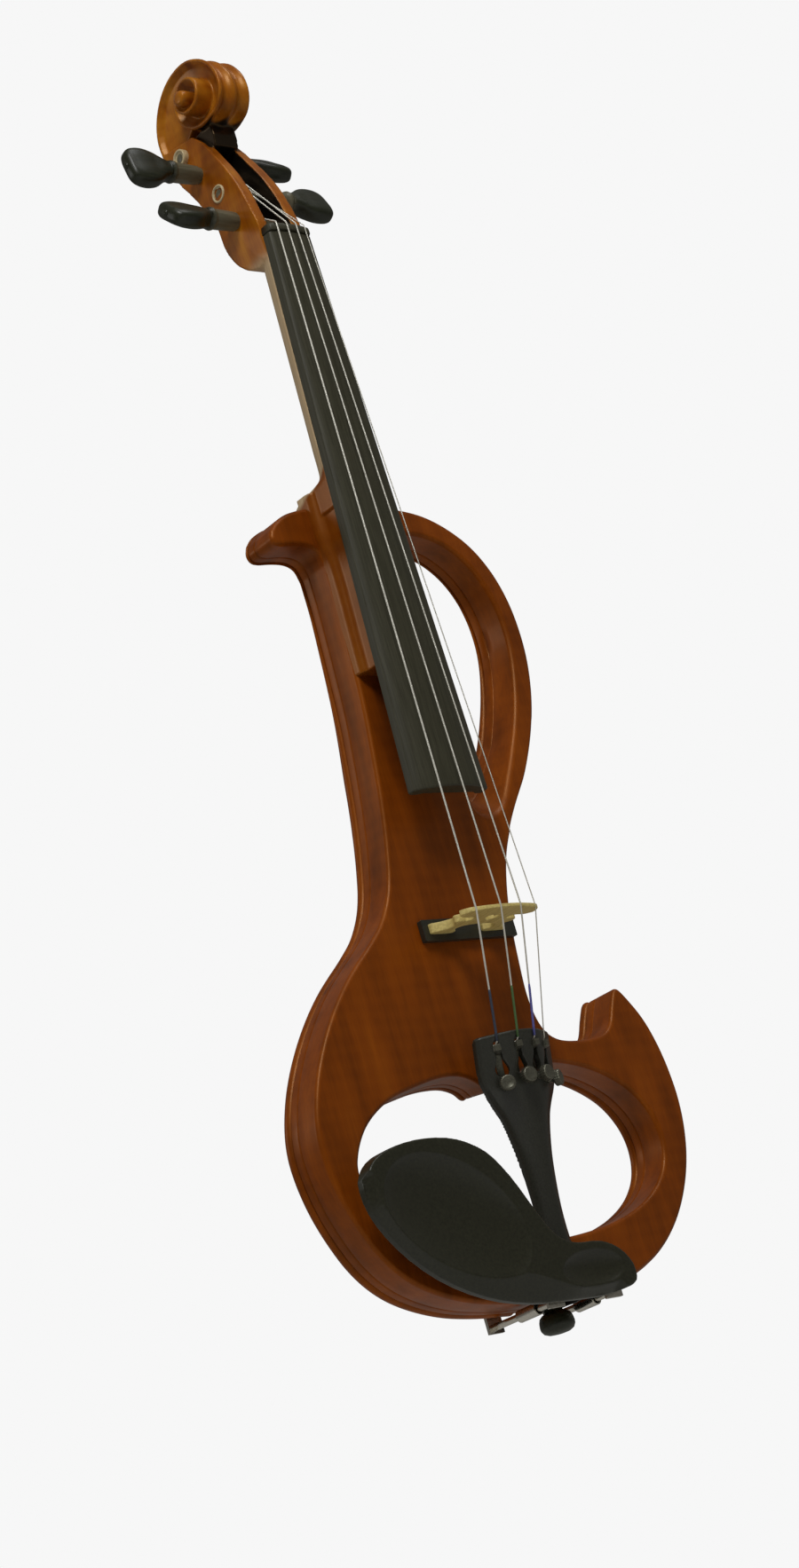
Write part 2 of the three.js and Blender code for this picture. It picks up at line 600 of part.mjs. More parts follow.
const buttonProfile = [
  [0, -12.5], [5, -12.3], [7.4, -9.5], [7.2, -5.5], [5.6, -3.6], [3.6, -3.1], [3.9, 0.2], [3.4, 20.5],
  [0, 20.5],
];
add('end_button', turned(buttonProfile, 'z', 18).translate(0, BUTTON_Y, 0), 'ebony');

// ---- pegs and the bushings of their far ends ----
function peg(p) {
  const profile = [
    [0, -12.2], [2.7, -12.2], [3.3, 6], [3.9, 13.3], [4.4, 13.6], [4.6, p.tip - 25], [5.4, p.tip - 24],
    [5.4, p.tip - 22.5], [0, p.tip - 22.5],
  ];
  const grip = joined(
    turned(profile, 'x', 12),
    new THREE.SphereGeometry(1, 12, 8).scale(12.2, 4.6, 11).translate(p.tip - 12.4, 0, 0),
    new THREE.SphereGeometry(4, 10, 6).translate(p.tip - 22, 0, 0),
    new THREE.SphereGeometry(1.5, 8, 5).translate(p.tip - 0.8, 0, 0),
  );
  const placed = geometryOf(grip).rotateX(p.turn);
  if (p.side < 0) placed.rotateY(Math.PI);
  return placed.translate(0, p.y, p.z);
}

function bushing(p) {
  const ends = [-p.side * 10.6, -p.side * 13.5];
  const low = Math.min(...ends);
  const high = Math.max(...ends);
  const profile = [[3.1, low], [3.9, low], [3.9, high], [3.1, high], [3.1, low]];
  return turned(profile, 'x', 16).translate(0, p.y, p.z);
}

for (const [note, p] of Object.entries(PEGS)) {
  add(`peg_${note}`, peg(p), 'ebony');
  add(`peg_bushing_${note}`, bushing(p), 'bone');
}

// ---- chinrest and its clamp ----
function chinOutline() {
  return closedCurve([
    [-105, 55], [-99, 62], [-87, 66], [-71, 67.5], [-55, 65.5], [-42, 59], [-33, 48], [-25, 33],
    [-18, 22], [-9, 17.5], [5, 16.5], [14, 12.5], [19.5, 5], [18.5, -2], [8, -4.5], [-13, -4.5],
    [-37, -3], [-58, 2], [-79, 12.5], [-95, 27], [-104, 42],
  ], 63);
}

function chinrest() {
  const plate = solid(slab(chinOutline(), CHIN_TOP_Y, CHIN_BASE_Y));
  const dish = new THREE.SphereGeometry(1, 28, 16).scale(42, 7, 31).rotateY(0.55);
  dish.translate(-64, CHIN_TOP_Y - 1.4, 33);
  const lobe = new THREE.SphereGeometry(1, 20, 12).scale(24, 3.4, 8).translate(-5, CHIN_TOP_Y - 1, 5.5);
  const feet = joined(
    block(-33, -12, CHIN_BASE_Y - 2, -1.6, 3.5, 15),
    block(11.6, 18.6, CHIN_BASE_Y - 2, -1.6, 3.5, 10.5),
  );
  return cut(plate, dish, lobe).add(feet);
}

add('chinrest', chinrest(), 'composite');
add('chinrest_cork_left', block(-32.5, -12.5, -1.6, 0, 4, 14.5), 'cork');
add('chinrest_cork_right', block(12, 18.2, -1.6, 0, 4, 10), 'cork');

for (const [side, x] of Object.entries(CLAMP_XS)) {
  const tab = block(x - 4.5, x + 4.5, CHIN_BASE_Y, CHIN_BASE_Y + 1.5, CLAMP_Z - 2.6, 2.8);
  const stud = rod([x, CHIN_BASE_Y + 1, CLAMP_Z], [x, 2.5, CLAMP_Z], 1.5, 12);
  add(`clamp_bracket_${side}`, joined(tab, stud), 'nickel');
  const barrel = turned([[1.95, -3], [2.7, -3], [2.7, 9], [1.95, 9], [1.95, -3]], 'y', 16);
  add(`clamp_barrel_${side}`, barrel.translate(x, 0, CLAMP_Z), 'nickel');
}

const CLAMP_FACE_Y = BACK_Y + 1.6;
const clampFoot = joined(
  block(CLAMP_XS.left - 5, CLAMP_XS.right + 5, CLAMP_FACE_Y, CLAMP_FACE_Y + 1.6, 2, 13),
  ...Object.values(CLAMP_XS).flatMap((x) => [
    block(x - 4, x + 4, CLAMP_FACE_Y, CLAMP_FACE_Y + 1.6, CLAMP_Z - 2.6, 3),
    rod([x, 4, CLAMP_Z], [x, CLAMP_FACE_Y + 0.5, CLAMP_Z], 1.5, 12),
  ]),
);
add('clamp_foot', clampFoot, 'nickel');
add('clamp_cork', block(CLAMP_XS.left - 4.5, CLAMP_XS.right + 4.5, BACK_Y, CLAMP_FACE_Y, 2.5, 12.5), 'cork');

// ---- electronics in the back ----
const KNOBS = { volume_knob: -17, tone_knob: 13 };
const KNOB_Z = PANEL.z + 9;
const JACK_Z = PANEL.z - 9.5;
const OUTPUT_X = -14;
const PHONES_X = 9;
const SCREW_POINTS = [[-1, -1], [1, -1], [1, 1], [-1, 1]].map(([u, v]) => [
  PANEL.x + u * (PANEL.width / 2 - 2.6),
  PANEL.z + v * (PANEL.height / 2 - 2.2),
]);
const panelTop = BACK_Y + PANEL.thick;

function panel() {
  const sheet = solid(block(
    PANEL.x - PANEL.width / 2, PANEL.x + PANEL.width / 2, BACK_Y, panelTop,
    PANEL.z - PANEL.height / 2, PANEL.z + PANEL.height / 2,
  ));
  const through = (x, z, radius) => rod([x, BACK_Y - 1, z], [x, panelTop + 1, z], radius, 16);
  return cut(
    sheet,
    ...Object.values(KNOBS).map((x) => through(x, KNOB_Z, 3.6)),
    through(OUTPUT_X, JACK_Z, 5.4),
    through(PHONES_X, JACK_Z, 3.6),
    ...SCREW_POINTS.map(([x, z]) => rod([x, panelTop - 0.9, z], [x, panelTop + 1, z], 2, 12)),
  );
}

add('control_panel', panel(), 'composite');
SCREW_POINTS.forEach(([x, z], i) => {
  const profile = [[0, panelTop - 0.8], [1.7, panelTop - 0.8], [1.7, panelTop + 0.3], [0, panelTop + 0.5]];
  add(`panel_screw_${i + 1}`, turned(profile, 'y', 12).translate(x, 0, z), 'nickel');
});

for (const [name, x] of Object.entries(KNOBS)) {
  const profile = [
    [0, 17], [3, 17], [3, panelTop + 0.5], [7.2, panelTop + 0.5], [7.4, panelTop + 3],
    [6.6, panelTop + 10], [5.8, panelTop + 10.8], [0, panelTop + 10.8],
  ];
  add(name, turned(profile, 'y', 20).translate(x, 0, KNOB_Z), 'composite');
}

function socket(x, outer, bore, collar) {
  const mouth = panelTop + 2.2;
  const neck = outer - 2.6;
  const profile = [
    [0, 8], [outer, 8], [outer, BACK_Y - 0.4], [neck, BACK_Y - 0.4], [neck, panelTop + 0.1],
    [collar, panelTop + 0.1], [collar, mouth - 0.4], [bore + 0.6, mouth], [bore, mouth - 0.6],
    [bore, 10.5], [0, 10.5],
  ];
  return turned(profile, 'y', 16).translate(x, 0, JACK_Z);
}

add('output_jack', socket(OUTPUT_X, 7.6, 3.3, 6.6), 'nickel');
add('headphone_jack', socket(PHONES_X, 5.8, 1.9, 4.6), 'nickel');
add('preamp_board', block(-20, 16, PREAMP_BAY.front + 0.5, PREAMP_BAY.front + 2.1, 147, 175), 'circuit');

const DOOR = { x0: -55.9, x1: -4.1, z0: 107.6, z1: 136.4 };
const door = joined(
  block(DOOR.x0, DOOR.x1, BACK_Y - 1.8, BACK_Y, DOOR.z0, DOOR.z1),
  block(-35, -25, BACK_Y - 1, BACK_Y + 1.2, DOOR.z1 - 4, DOOR.z1 - 0.4),
);
add('battery_door', door, 'composite');
add('battery', block(-54.2, -5.8, 3, 20.4, 109.2, 135.4), 'cell');

export default group;
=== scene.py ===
"""Looks of the electric violin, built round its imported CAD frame.

Lengths are in millimetres and become metres where a mesh is made. +Z runs from the tail to the scroll,
-Y is the player's front and +X the treble side.
"""

import math

import bmesh
import bpy
from mathutils import Matrix, Vector
from mathutils.geometry import tessellate_polygon
from mathutils.kdtree import KDTree


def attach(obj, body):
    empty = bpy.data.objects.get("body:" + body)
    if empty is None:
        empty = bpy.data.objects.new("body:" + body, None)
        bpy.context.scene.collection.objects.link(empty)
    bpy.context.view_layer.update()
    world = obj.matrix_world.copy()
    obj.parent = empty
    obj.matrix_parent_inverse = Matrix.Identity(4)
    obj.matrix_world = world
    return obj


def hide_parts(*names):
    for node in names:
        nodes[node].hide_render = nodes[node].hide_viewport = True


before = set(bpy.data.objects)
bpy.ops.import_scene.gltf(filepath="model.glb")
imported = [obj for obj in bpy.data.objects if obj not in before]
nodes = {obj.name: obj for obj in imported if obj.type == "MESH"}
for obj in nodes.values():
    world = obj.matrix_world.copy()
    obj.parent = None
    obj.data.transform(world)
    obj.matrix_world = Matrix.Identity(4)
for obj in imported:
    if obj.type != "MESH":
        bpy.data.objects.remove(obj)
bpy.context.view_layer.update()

MM = 0.001
CORE_BACK = 18.0
PLATE_BACK = 23.0
NUT_Z = 486.0
BOARD_END_Z = 216.0
BOARD_RADIUS = 42.0
BRIDGE_Z = 160.0
BODY_TOP = 361.0
TAIL_ARCH = 24.0
EYE = (4.0, 570.0)
STRINGS = {
    "g": dict(nut=-8.1, bridge=-16.8, tail=-12.85, radius=0.42, silk=(0.03, 0.036, 0.055)),
    "d": dict(nut=-2.7, bridge=-5.6, tail=-4.5, radius=0.38, silk=(0.05, 0.10, 0.03)),
    "a": dict(nut=2.7, bridge=5.6, tail=4.5, radius=0.35, silk=(0.08, 0.08, 0.26)),
    "e": dict(nut=8.1, bridge=16.8, tail=12.85, radius=0.25, silk=None),
}
PEGS = {
    "g": dict(y=-3.5, z=501.0, side=-1, tip=52.0, turn=0.75),
    "d": dict(y=12.5, z=535.0, side=-1, tip=52.5, turn=0.2),
    "a": dict(y=20.5, z=549.0, side=1, tip=48.5, turn=-0.85),
    "e": dict(y=2.0, z=519.0, side=1, tip=50.5, turn=-0.42),
}


# ---- numbers that several pieces share ----
def between(value, low, high, start, end):
    return start + (end - start) * (value - low) / (high - low)


def clamped(value, low, high):
    return max(low, min(high, value))


def eased(value, low, high):
    share = clamped((value - low) / (high - low), 0, 1)
    return share * share * (3 - 2 * share)


def board_half(z):
    return between(z, BOARD_END_Z, NUT_Z, 21, 12)


def glue_y(z):
    return between(z, BOARD_END_Z, NUT_Z, -14.4, -16.7)


def crown_drop(x):
    return BOARD_RADIUS - math.sqrt(BOARD_RADIUS ** 2 - x ** 2)


def board_crown(z):
    return glue_y(z) - 5 - crown_drop(board_half(z))


def tail_crown(z):
    return -6 - 0.0274 * max(0, z - 20) ** 1.394


TAIL_ARCHES = [(0, 14), (20, 10), (34, 7.6), (48, 7.8), (60, 9.6), (74, 15), (86, TAIL_ARCH),
               (110, TAIL_ARCH)]


def tail_y(x, z):
    arch = along_table(TAIL_ARCHES, z)
    round_part = min(abs(x), arch * between(eased(z, 74, 88), 0, 1, 0.8, 0.5))
    flank = (abs(x) - round_part) * math.tan(math.asin(round_part / arch))
    return tail_crown(z) + arch - math.sqrt(arch ** 2 - round_part ** 2) + flank


def along_table(table, value):
    """A smooth value from a table of (place, value) pairs."""
    places = [row[0] for row in table]
    i = clamped(sum(place <= value for place in places) - 1, 0, len(table) - 2)
    share = clamped((value - places[i]) / (places[i + 1] - places[i]), 0, 1)
    before, after = table[max(i - 1, 0)], table[min(i + 2, len(table) - 1)]
    start, end = table[i], table[i + 1]
    gap = end[0] - start[0]
    slope0 = (end[1] - before[1]) / (end[0] - before[0]) * gap
    slope1 = (after[1] - start[1]) / (after[0] - start[0]) * gap
    s2, s3 = share ** 2, share ** 3
    return ((2 * s3 - 3 * s2 + 1) * start[1] + (s3 - 2 * s2 + share) * slope0
            + (3 * s2 - 2 * s3) * end[1] + (s3 - s2) * slope1)


def flowing(points, per, closed=False):
    """Points on a centripetal curve through the given ones."""
    points = [Vector(p) for p in points]
    count = len(points)
    result = []
    for i in range(count if closed else count - 1):
        if closed:
            p0, p1, p2, p3 = (points[(i + k) % count] for k in (-1, 0, 1, 2))
        else:
            p1, p2 = points[i], points[i + 1]
            p0 = points[i - 1] if i else p1 * 2 - p2
            p3 = points[i + 2] if i + 2 < count else p2 * 2 - p1
        t1 = max((p1 - p0).length, 1e-6) ** 0.5
        t2 = t1 + max((p2 - p1).length, 1e-6) ** 0.5
        t3 = t2 + max((p3 - p2).length, 1e-6) ** 0.5
        for k in range(per):
            t = t1 + (t2 - t1) * k / per
            a1 = p0 * ((t1 - t) / t1) + p1 * (t / t1)
            a2 = p1 * ((t2 - t) / (t2 - t1)) + p2 * ((t - t1) / (t2 - t1))
            a3 = p2 * ((t3 - t) / (t3 - t2)) + p3 * ((t - t2) / (t3 - t2))
            b1 = a1 * ((t2 - t) / t2) + a2 * (t / t2)
            b2 = a2 * ((t3 - t) / (t3 - t1)) + a3 * ((t - t1) / (t3 - t1))
            result.append(b1 * ((t2 - t) / (t2 - t1)) + b2 * ((t - t1) / (t2 - t1)))
    if not closed:
        result.append(points[-1])
    return result


# ---- meshes ----
def shape(points, faces):
    mesh = bpy.data.meshes.new("shape")
    mesh.from_pydata([Vector(p) * MM for p in points], [], faces)
    bm = bmesh.new()
    bm.from_mesh(mesh)
    bmesh.ops.remove_doubles(bm, verts=bm.verts, dist=1e-7)
    bmesh.ops.recalc_face_normals(bm, faces=bm.faces)
    bm.to_mesh(mesh)
    bm.free()
    obj = bpy.data.objects.new("shape", mesh)
    bpy.context.scene.collection.objects.link(obj)
    return obj


def dropped(obj):
    mesh = obj.data
    bpy.data.objects.remove(obj)
    bpy.data.meshes.remove(mesh)


def applied(obj):
    bpy.context.view_layer.update()
    graph = bpy.context.evaluated_depsgraph_get()
    mesh = bpy.data.meshes.new_from_object(obj.evaluated_get(graph))
    obj.modifiers.clear()
    obj.data = mesh
    return obj


def together(parts):
    bm = bmesh.new()
    for part in parts:
        bm.from_mesh(part.data)
    mesh = bpy.data.meshes.new("together")
    bm.to_mesh(mesh)
    bm.free()
    for part in parts:
        dropped(part)
    obj = bpy.data.objects.new("together", mesh)
    bpy.context.scene.collection.objects.link(obj)
    return obj


def fused(parts, voxel, rounds):
    """Overlapping parts as one skin, its edges softened."""
    obj = together(parts)
    remesh = obj.modifiers.new("Remesh", "REMESH")
    remesh.mode = "VOXEL"
    remesh.voxel_size = voxel * MM
    soft = obj.modifiers.new("Smooth", "SMOOTH")
    soft.iterations = rounds
    return applied(obj)


def carved(obj, *cutters):
    for cutter in cutters:
        cut = obj.modifiers.new("Cut", "BOOLEAN")
        cut.operation = "DIFFERENCE"
        cut.solver = "EXACT"
        cut.object = cutter
    applied(obj)
    for cutter in cutters:
        dropped(cutter)
    return obj


def strip(a, b, size):
    """Four-sided faces between two rings of points, numbered from a and from b."""
    return [(a + j, a + (j + 1) % size, b + (j + 1) % size, b + j) for j in range(size)]


def loft(rings):
    """A skin over rings of equal length, capped at both ends."""
    size = len(rings[0])
    points = [p for ring in rings for p in ring]
    last = len(points) - size
    faces = []
    for a in range(0, last, size):
        faces += strip(a, a + size, size)
    faces += [tuple(range(size)), tuple(range(last, len(points)))]
    return shape(points, faces)


def turned(profile, axis, centre, sides=40, ripple=None):
    """A turned piece: the profile holds (radius, distance) pairs along the axis."""
    rings = []
    for radius, distance in profile:
        ring = []
        for k in range(sides):
            angle = 2 * math.pi * k / sides
            r = max(radius, 0.02) + (ripple(radius, distance, angle) if ripple else 0)
            u, v = r * math.cos(angle), r * math.sin(angle)
            offset = {"x": (distance, u, v), "y": (u, distance, v), "z": (u, v, distance)}[axis]
            ring.append(Vector(centre) + Vector(offset))
        rings.append(ring)
    return loft(rings)


def tube(path, radius, sides):
    """A round bar along a path; the radius may be a function of the share of the path."""
    path = [Vector(p) for p in path]
    count = len(path)
    side = None
    rings = []
    for i, point in enumerate(path):
        forward = (path[min(i + 1, count - 1)] - path[max(i - 1, 0)]).normalized()
        if side is None:
            side = forward.orthogonal()
        side = (side - forward * side.dot(forward)).normalized()
        other = forward.cross(side)
        r = radius(i / (count - 1)) if callable(radius) else radius
        angles = [2 * math.pi * k / sides for k in range(sides)]
        rings.append([point + side * (r * math.cos(a)) + other * (r * math.sin(a)) for a in angles])
    return loft(rings)


def evened(obj):
    obj.modifiers.new("Weighted", "WEIGHTED_NORMAL").keep_sharp = True
    return obj


def piece(obj, name, slot, replaces=None, body="violin", finish=None):
    """A finished piece, in its slot's material unless it has a finish of its own."""
    obj.name = name
    obj.data.name = name
    obj.data.materials.clear()
    obj.data.materials.append(MATERIALS[finish or slot])
    for polygon in obj.data.polygons:
        polygon.use_smooth = True
    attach(obj, body)
    if replaces:
        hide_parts(replaces)


# ---- outlines taken from the frame ----
def loops_of(node, axis, value, smallest=6):
    """Closed outlines of a node's flat face across an axis, largest first, in millimetres."""
    keep = [i for i in range(3) if i != axis]
    mesh = nodes[node].data
    sides = {}
    for polygon in mesh.polygons:
        corners = [mesh.vertices[i].co / MM for i in polygon.vertices]
        if any(abs(c[axis] - value) > 0.02 for c in corners):
            continue
        keys = [(round(c[keep[0]], 3), round(c[keep[1]], 3)) for c in corners]
        for a, b in zip(keys, keys[1:] + keys[:1]):
            if (b, a) in sides:
                del sides[(b, a)]
            else:
                sides[(a, b)] = True
    follow = {a: b for a, b in sides}
    loops = []
    while follow:
        start, point = follow.popitem()
        loop = [start]
        while point in follow:
            loop.append(point)
            point = follow.pop(point)
        width = max(p[0] for p in loop) - min(p[0] for p in loop)
        if width > smallest:
            loops.append(loop)
    loops.sort(key=lambda loop: -abs(area(loop)))
    return [oriented(loop, i == 0) for i, loop in enumerate(loops)]


def area(loop):
    return sum(a[0] * b[1] - b[0] * a[1] for a, b in zip(loop, loop[1:] + loop[:1])) / 2


def oriented(loop, outer):
    """The outer outline runs anticlockwise and a hole clockwise, so the wood is always on the left."""
    return loop if (area(loop) > 0) == outer else loop[::-1]


def inset(loop, distance):
    """A loop moved into the wood, with folds at tight corners drawn together."""
    count = len(loop)
    moved = []
    for i, p in enumerate(loop):
        along = (loop[(i + 1) % count] - loop[i - 1]).normalized()
        moved.append(p + Vector((-along.y, along.x)) * distance)
    for _ in range(40):
        folds = 0
        for i in range(count):
            j = (i + 1) % count
            if (loop[j] - loop[i]).dot(moved[j] - moved[i]) < 0:
                moved[i] = moved[j] = (moved[i] + moved[j]) / 2
                folds += 1
        if not folds:
            break
    return moved


def edged(loops, profile, place, pockets=(), openings=()):
    """A board with a shaped edge: the profile holds (inset, depth) pairs from its front to its back.

    Pockets are (loop, depth of floor) pairs cut from the back, and openings go straight through.
    """
    points, faces, starts = [], [], []
    front, back = profile[0][1], profile[-1][1]
    for loop in loops:
        size = len(loop)
        starts.append((len(points), size))
        for distance, depth in profile:
            points += [place(p, depth) for p in inset(loop, distance)]
        base = starts[-1][0]
        for k in range(len(profile) - 1):
            faces += strip(base + k * size, base + (k + 1) * size, size)

    def walled(loop, start, end):
        """A straight wall round a loop, and the point numbers of its two rims."""
        first, size = len(points), len(loop)
        points.extend([place(p, start) for p in loop] + [place(p, end) for p in loop])
        faces.extend(strip(first, first + size, size))
        return range(first, first + size), range(first + size, first + 2 * size)

    def cap(row, holes):
        groups = []
        for (base, size), loop in zip(starts, loops):
            first = base + row * size
            groups.append((inset(loop, profile[row][0]), range(first, first + size)))
        groups += holes
        flat = [[Vector((p[0], p[1], 0)) for p in g[0]] for g in groups]
        order = [i for g in groups for i in g[1]]
        return [tuple(order[i] for i in triangle) for triangle in tessellate_polygon(flat)]

    front_holes, back_holes = [], []
    for loop in openings:
        near, far = walled(loop, front, back)
        front_holes.append((loop, near))
        back_holes.append((loop, far))
    faces += cap(0, front_holes)
    for loop, floor in pockets:
        rim, bottom = walled(loop, back, floor)
        faces.append(tuple(bottom))
        back_holes.append((loop, rim))
    faces += cap(len(profile) - 1, back_holes)
    return shape(points, faces)


def quarter(radius, depth, outward, steps):
    """(inset, depth) pairs of a rounded corner that starts on the face, or ends on it."""
    arc = []
    for k in range(steps + 1):
        angle = math.pi / 2 * k / steps
        arc.append((radius * (1 - math.sin(angle)), depth + outward * radius * (1 - math.cos(angle))))
    return arc if outward > 0 else arc[::-1]


# ---- materials ----
class Graph:
    """A material's node tree, with short calls to add and link nodes."""

    def __init__(self, name):
        self.material = bpy.data.materials.new(name)
        self.material.use_nodes = True
        self.tree = self.material.node_tree
        self.shader = self.tree.nodes["Principled BSDF"]
        self.place = self.add("ShaderNodeTexCoord").outputs["Object"]

    def add(self, kind, **settings):
        node = self.tree.nodes.new(kind)
        for key, value in settings.items():
            setattr(node, key, value)
        return node

    def feed(self, socket, value):
        if isinstance(value, bpy.types.NodeSocket):
            self.tree.links.new(value, socket)
        else:
            socket.default_value = value

    def texture(self, kind, stretch, **values):
        mapping = self.add("ShaderNodeMapping")
        self.feed(mapping.inputs["Vector"], self.place)
        mapping.inputs["Scale"].default_value = stretch
        texture = self.add(kind)
        self.feed(texture.inputs["Vector"], mapping.outputs["Vector"])
        for key, value in values.items():
            texture.inputs[key].default_value = value
        return texture

    def noise(self, stretch, scale, detail, rough=0.55):
        texture = self.texture("ShaderNodeTexNoise", stretch, Scale=scale, Detail=detail, Roughness=rough)
        return texture.outputs["Fac"]

    def wave(self, stretch, scale, distortion):
        texture = self.texture("ShaderNodeTexWave", stretch, Scale=scale, Distortion=distortion, Detail=3.0)
        texture.bands_direction = "Z"
        return texture.outputs["Fac"]

    def ramp(self, value, *stops):
        node = self.add("ShaderNodeValToRGB")
        self.feed(node.inputs["Fac"], value)
        elements = node.color_ramp.elements
        while len(elements) < len(stops):
            elements.new(0.5)
        for element, (place, colour) in zip(elements, stops):
            element.position = place
            element.color = (*colour, 1)
        return node.outputs["Color"]

    def mix(self, share, first, second):
        node = self.add("ShaderNodeMix", data_type="RGBA")
        self.feed(node.inputs["Factor"], share)
        for socket, value in ((node.inputs[6], first), (node.inputs[7], second)):
            self.feed(socket, value if isinstance(value, bpy.types.NodeSocket) else (*value, 1))
        return node.outputs[2]

    def spread(self, value, low, high):
        node = self.add("ShaderNodeMapRange")
        self.feed(node.inputs["Value"], value)
        node.inputs["To Min"].default_value = low
        node.inputs["To Max"].default_value = high
        return node.outputs["Result"]

    def band(self, socket, low, high):
        """0 below low and 1 above high, in metres along one coordinate."""
        node = self.add("ShaderNodeMapRange", interpolation_type="SMOOTHSTEP")
        self.feed(node.inputs["Value"], socket)
        node.inputs["From Min"].default_value = low
        node.inputs["From Max"].default_value = high
        return node.outputs["Result"]

    def below(self, socket, low, high):
        """1 below low and 0 above high."""
        return self.maths("SUBTRACT", 1.0, self.band(socket, low, high))

    def maths(self, operation, first, second):
        node = self.add("ShaderNodeMath", operation=operation)
        self.feed(node.inputs[0], first)
        self.feed(node.inputs[1], second)
        return node.outputs[0]

    def axis(self, name):
        node = self.add("ShaderNodeSeparateXYZ")
        self.feed(node.inputs[0], self.place)
        return node.outputs[name]

    def bump(self, height, distance, strength):
        node = self.add("ShaderNodeBump")
        node.inputs["Distance"].default_value = distance * MM
        node.inputs["Strength"].default_value = strength
        self.feed(node.inputs["Height"], height)
        self.feed(self.shader.inputs["Normal"], node.outputs["Normal"])

    def finish(self, **values):
        for key, value in values.items():
            self.feed(self.shader.inputs[key.replace("_", " ")], value)
        return self.material


def wood_colour(g, dark, mid, light):
    """Fine fibres along the grain, slow mottling and a faint cross figure."""
    fibres = g.noise((1, 1, 0.035), 900, 5, 0.6)
    mottle = g.noise((1, 1, 0.18), 85, 4)
    figure = g.wave((0.25, 0.25, 1), 46, 5)
    base = g.ramp(mottle, (0.25, dark), (0.55, mid), (0.85, light))
    shaded = g.mix(g.spread(fibres, 0.0, 0.75), base, dark)
    return g.mix(g.spread(figure, 0.0, 0.06), shaded, light), fibres


def varnish():
    g = Graph("varnish")
    colour, fibres = wood_colour(g, (0.115, 0.022, 0.001), (0.30, 0.062, 0.002), (0.42, 0.10, 0.004))
    g.bump(fibres, 0.05, 0.25)
    rough = g.spread(g.noise((1, 1, 1), 120, 3), 0.34, 0.46)
    return g.finish(Base_Color=colour, Roughness=rough, Coat_Weight=0.03, Coat_Roughness=0.12,
                    Specular_IOR_Level=0.5, Specular_Tint=(1.0, 0.5, 0.16, 1))


def pegbox_shade(g, aside, depth, height):
    """1 inside the pegbox and its throat, which are painted black as painted shade, and 0 on the rest of the
    neck, in metres.
    """
    top = g.band(height, 0.5565, 0.5575)
    narrowing = g.maths("MULTIPLY", g.maths("SUBTRACT", height, 0.486), 0.0314)
    inside = g.below(g.maths("ADD", aside, narrowing), 0.0076, 0.0079)
    inside = g.maths("MULTIPLY", inside, g.maths("SUBTRACT", g.band(height, 0.4912, 0.492), top))
    floor_rise = g.maths("MULTIPLY", g.maths("MAXIMUM", g.maths("SUBTRACT", height, 0.5085), 0.0), 0.5)
    inside = g.maths("MULTIPLY", inside, g.below(g.maths("SUBTRACT", depth, floor_rise), 0.0074, 0.0078))
    throat = g.maths("SUBTRACT", g.band(height, 0.5445, 0.5455), top)
    throat = g.maths("MULTIPLY", throat, g.below(aside, 0.0086, 0.0096))
    throat = g.maths("MULTIPLY", throat, g.below(depth, 0.014, 0.018))
    return g.maths("MAXIMUM", inside, throat)


def varnish_neck():
    """Varnish that is darker on the foot and lighter golden on the scroll, with bare wood between them; its
    lighter tones are painted light, the golden scroll is painted light and partly wear, and the black pegbox
    is painted shade.
    """
    g = Graph("varnish_neck")
    # Painted light: these tones are a lighter, more golden copy of the body's varnish, standing in for a head
    # lit more strongly.
    colour, fibres = wood_colour(g, (0.16, 0.034, 0.001), (0.42, 0.115, 0.004), (0.72, 0.29, 0.012))
    bare_wood = g.ramp(fibres, (0.3, (0.50, 0.36, 0.20)), (0.7, (0.66, 0.50, 0.31)))
    aside = g.maths("ABSOLUTE", g.axis("X"), 0.0)
    depth, height = g.axis("Y"), g.axis("Z")
    wander = g.spread(g.noise((1, 1, 1), 60, 2), -0.002, 0.002)
    wavering = g.maths("ADD", height, wander)
    leaned = g.maths("ADD", wavering, g.maths("MULTIPLY", depth, 0.55))
    bare = g.maths("MULTIPLY", g.band(leaned, 0.3605, 0.3635), g.below(wavering, 0.472, 0.481))
    # Painted light and partly wear: the scroll is painted a lighter gold in patches from 552 mm up.
    golden = g.spread(g.noise((1, 1, 1), 80, 3), -0.7, 1.1)
    scroll_light_and_wear = g.maths("MULTIPLY", g.band(height, 0.552, 0.572), golden)
    scroll = g.mix(scroll_light_and_wear, colour, (0.60, 0.25, 0.02))
    foot = g.mix(0.7, scroll, (0.17, 0.036, 0.0015))
    varnished = g.mix(g.band(height, 0.366, 0.378), foot, scroll)
    # Painted shade: the inside of the pegbox and the throat under the scroll are painted near-black.
    shade = pegbox_shade(g, aside, depth, height)
    colour = g.mix(shade, g.mix(bare, varnished, bare_wood), (0.006, 0.005, 0.004))
    g.bump(fibres, 0.05, 0.25)
    rough = g.spread(bare, 0.32, 0.5)
    return g.finish(Base_Color=colour, Roughness=rough, Coat_Weight=0.03, Coat_Roughness=0.12,
                    Specular_IOR_Level=0.5, Specular_Tint=(1.0, 0.6, 0.25, 1))


def speckled(name, dark, light, rough=(0.35, 0.5), stretch=(1, 1, 1), scale=400, bump=0.03, **more):
    """A two-tone noise finish; grained where the stretch is uneven."""
    g = Graph(name)
    pattern = g.noise(stretch, scale, 6, 0.6)
    g.bump(pattern, bump, 0.35)
    return g.finish(Base_Color=g.ramp(pattern, (0.3, dark), (0.72, light)),
                    Roughness=g.spread(pattern, *rough), **more)


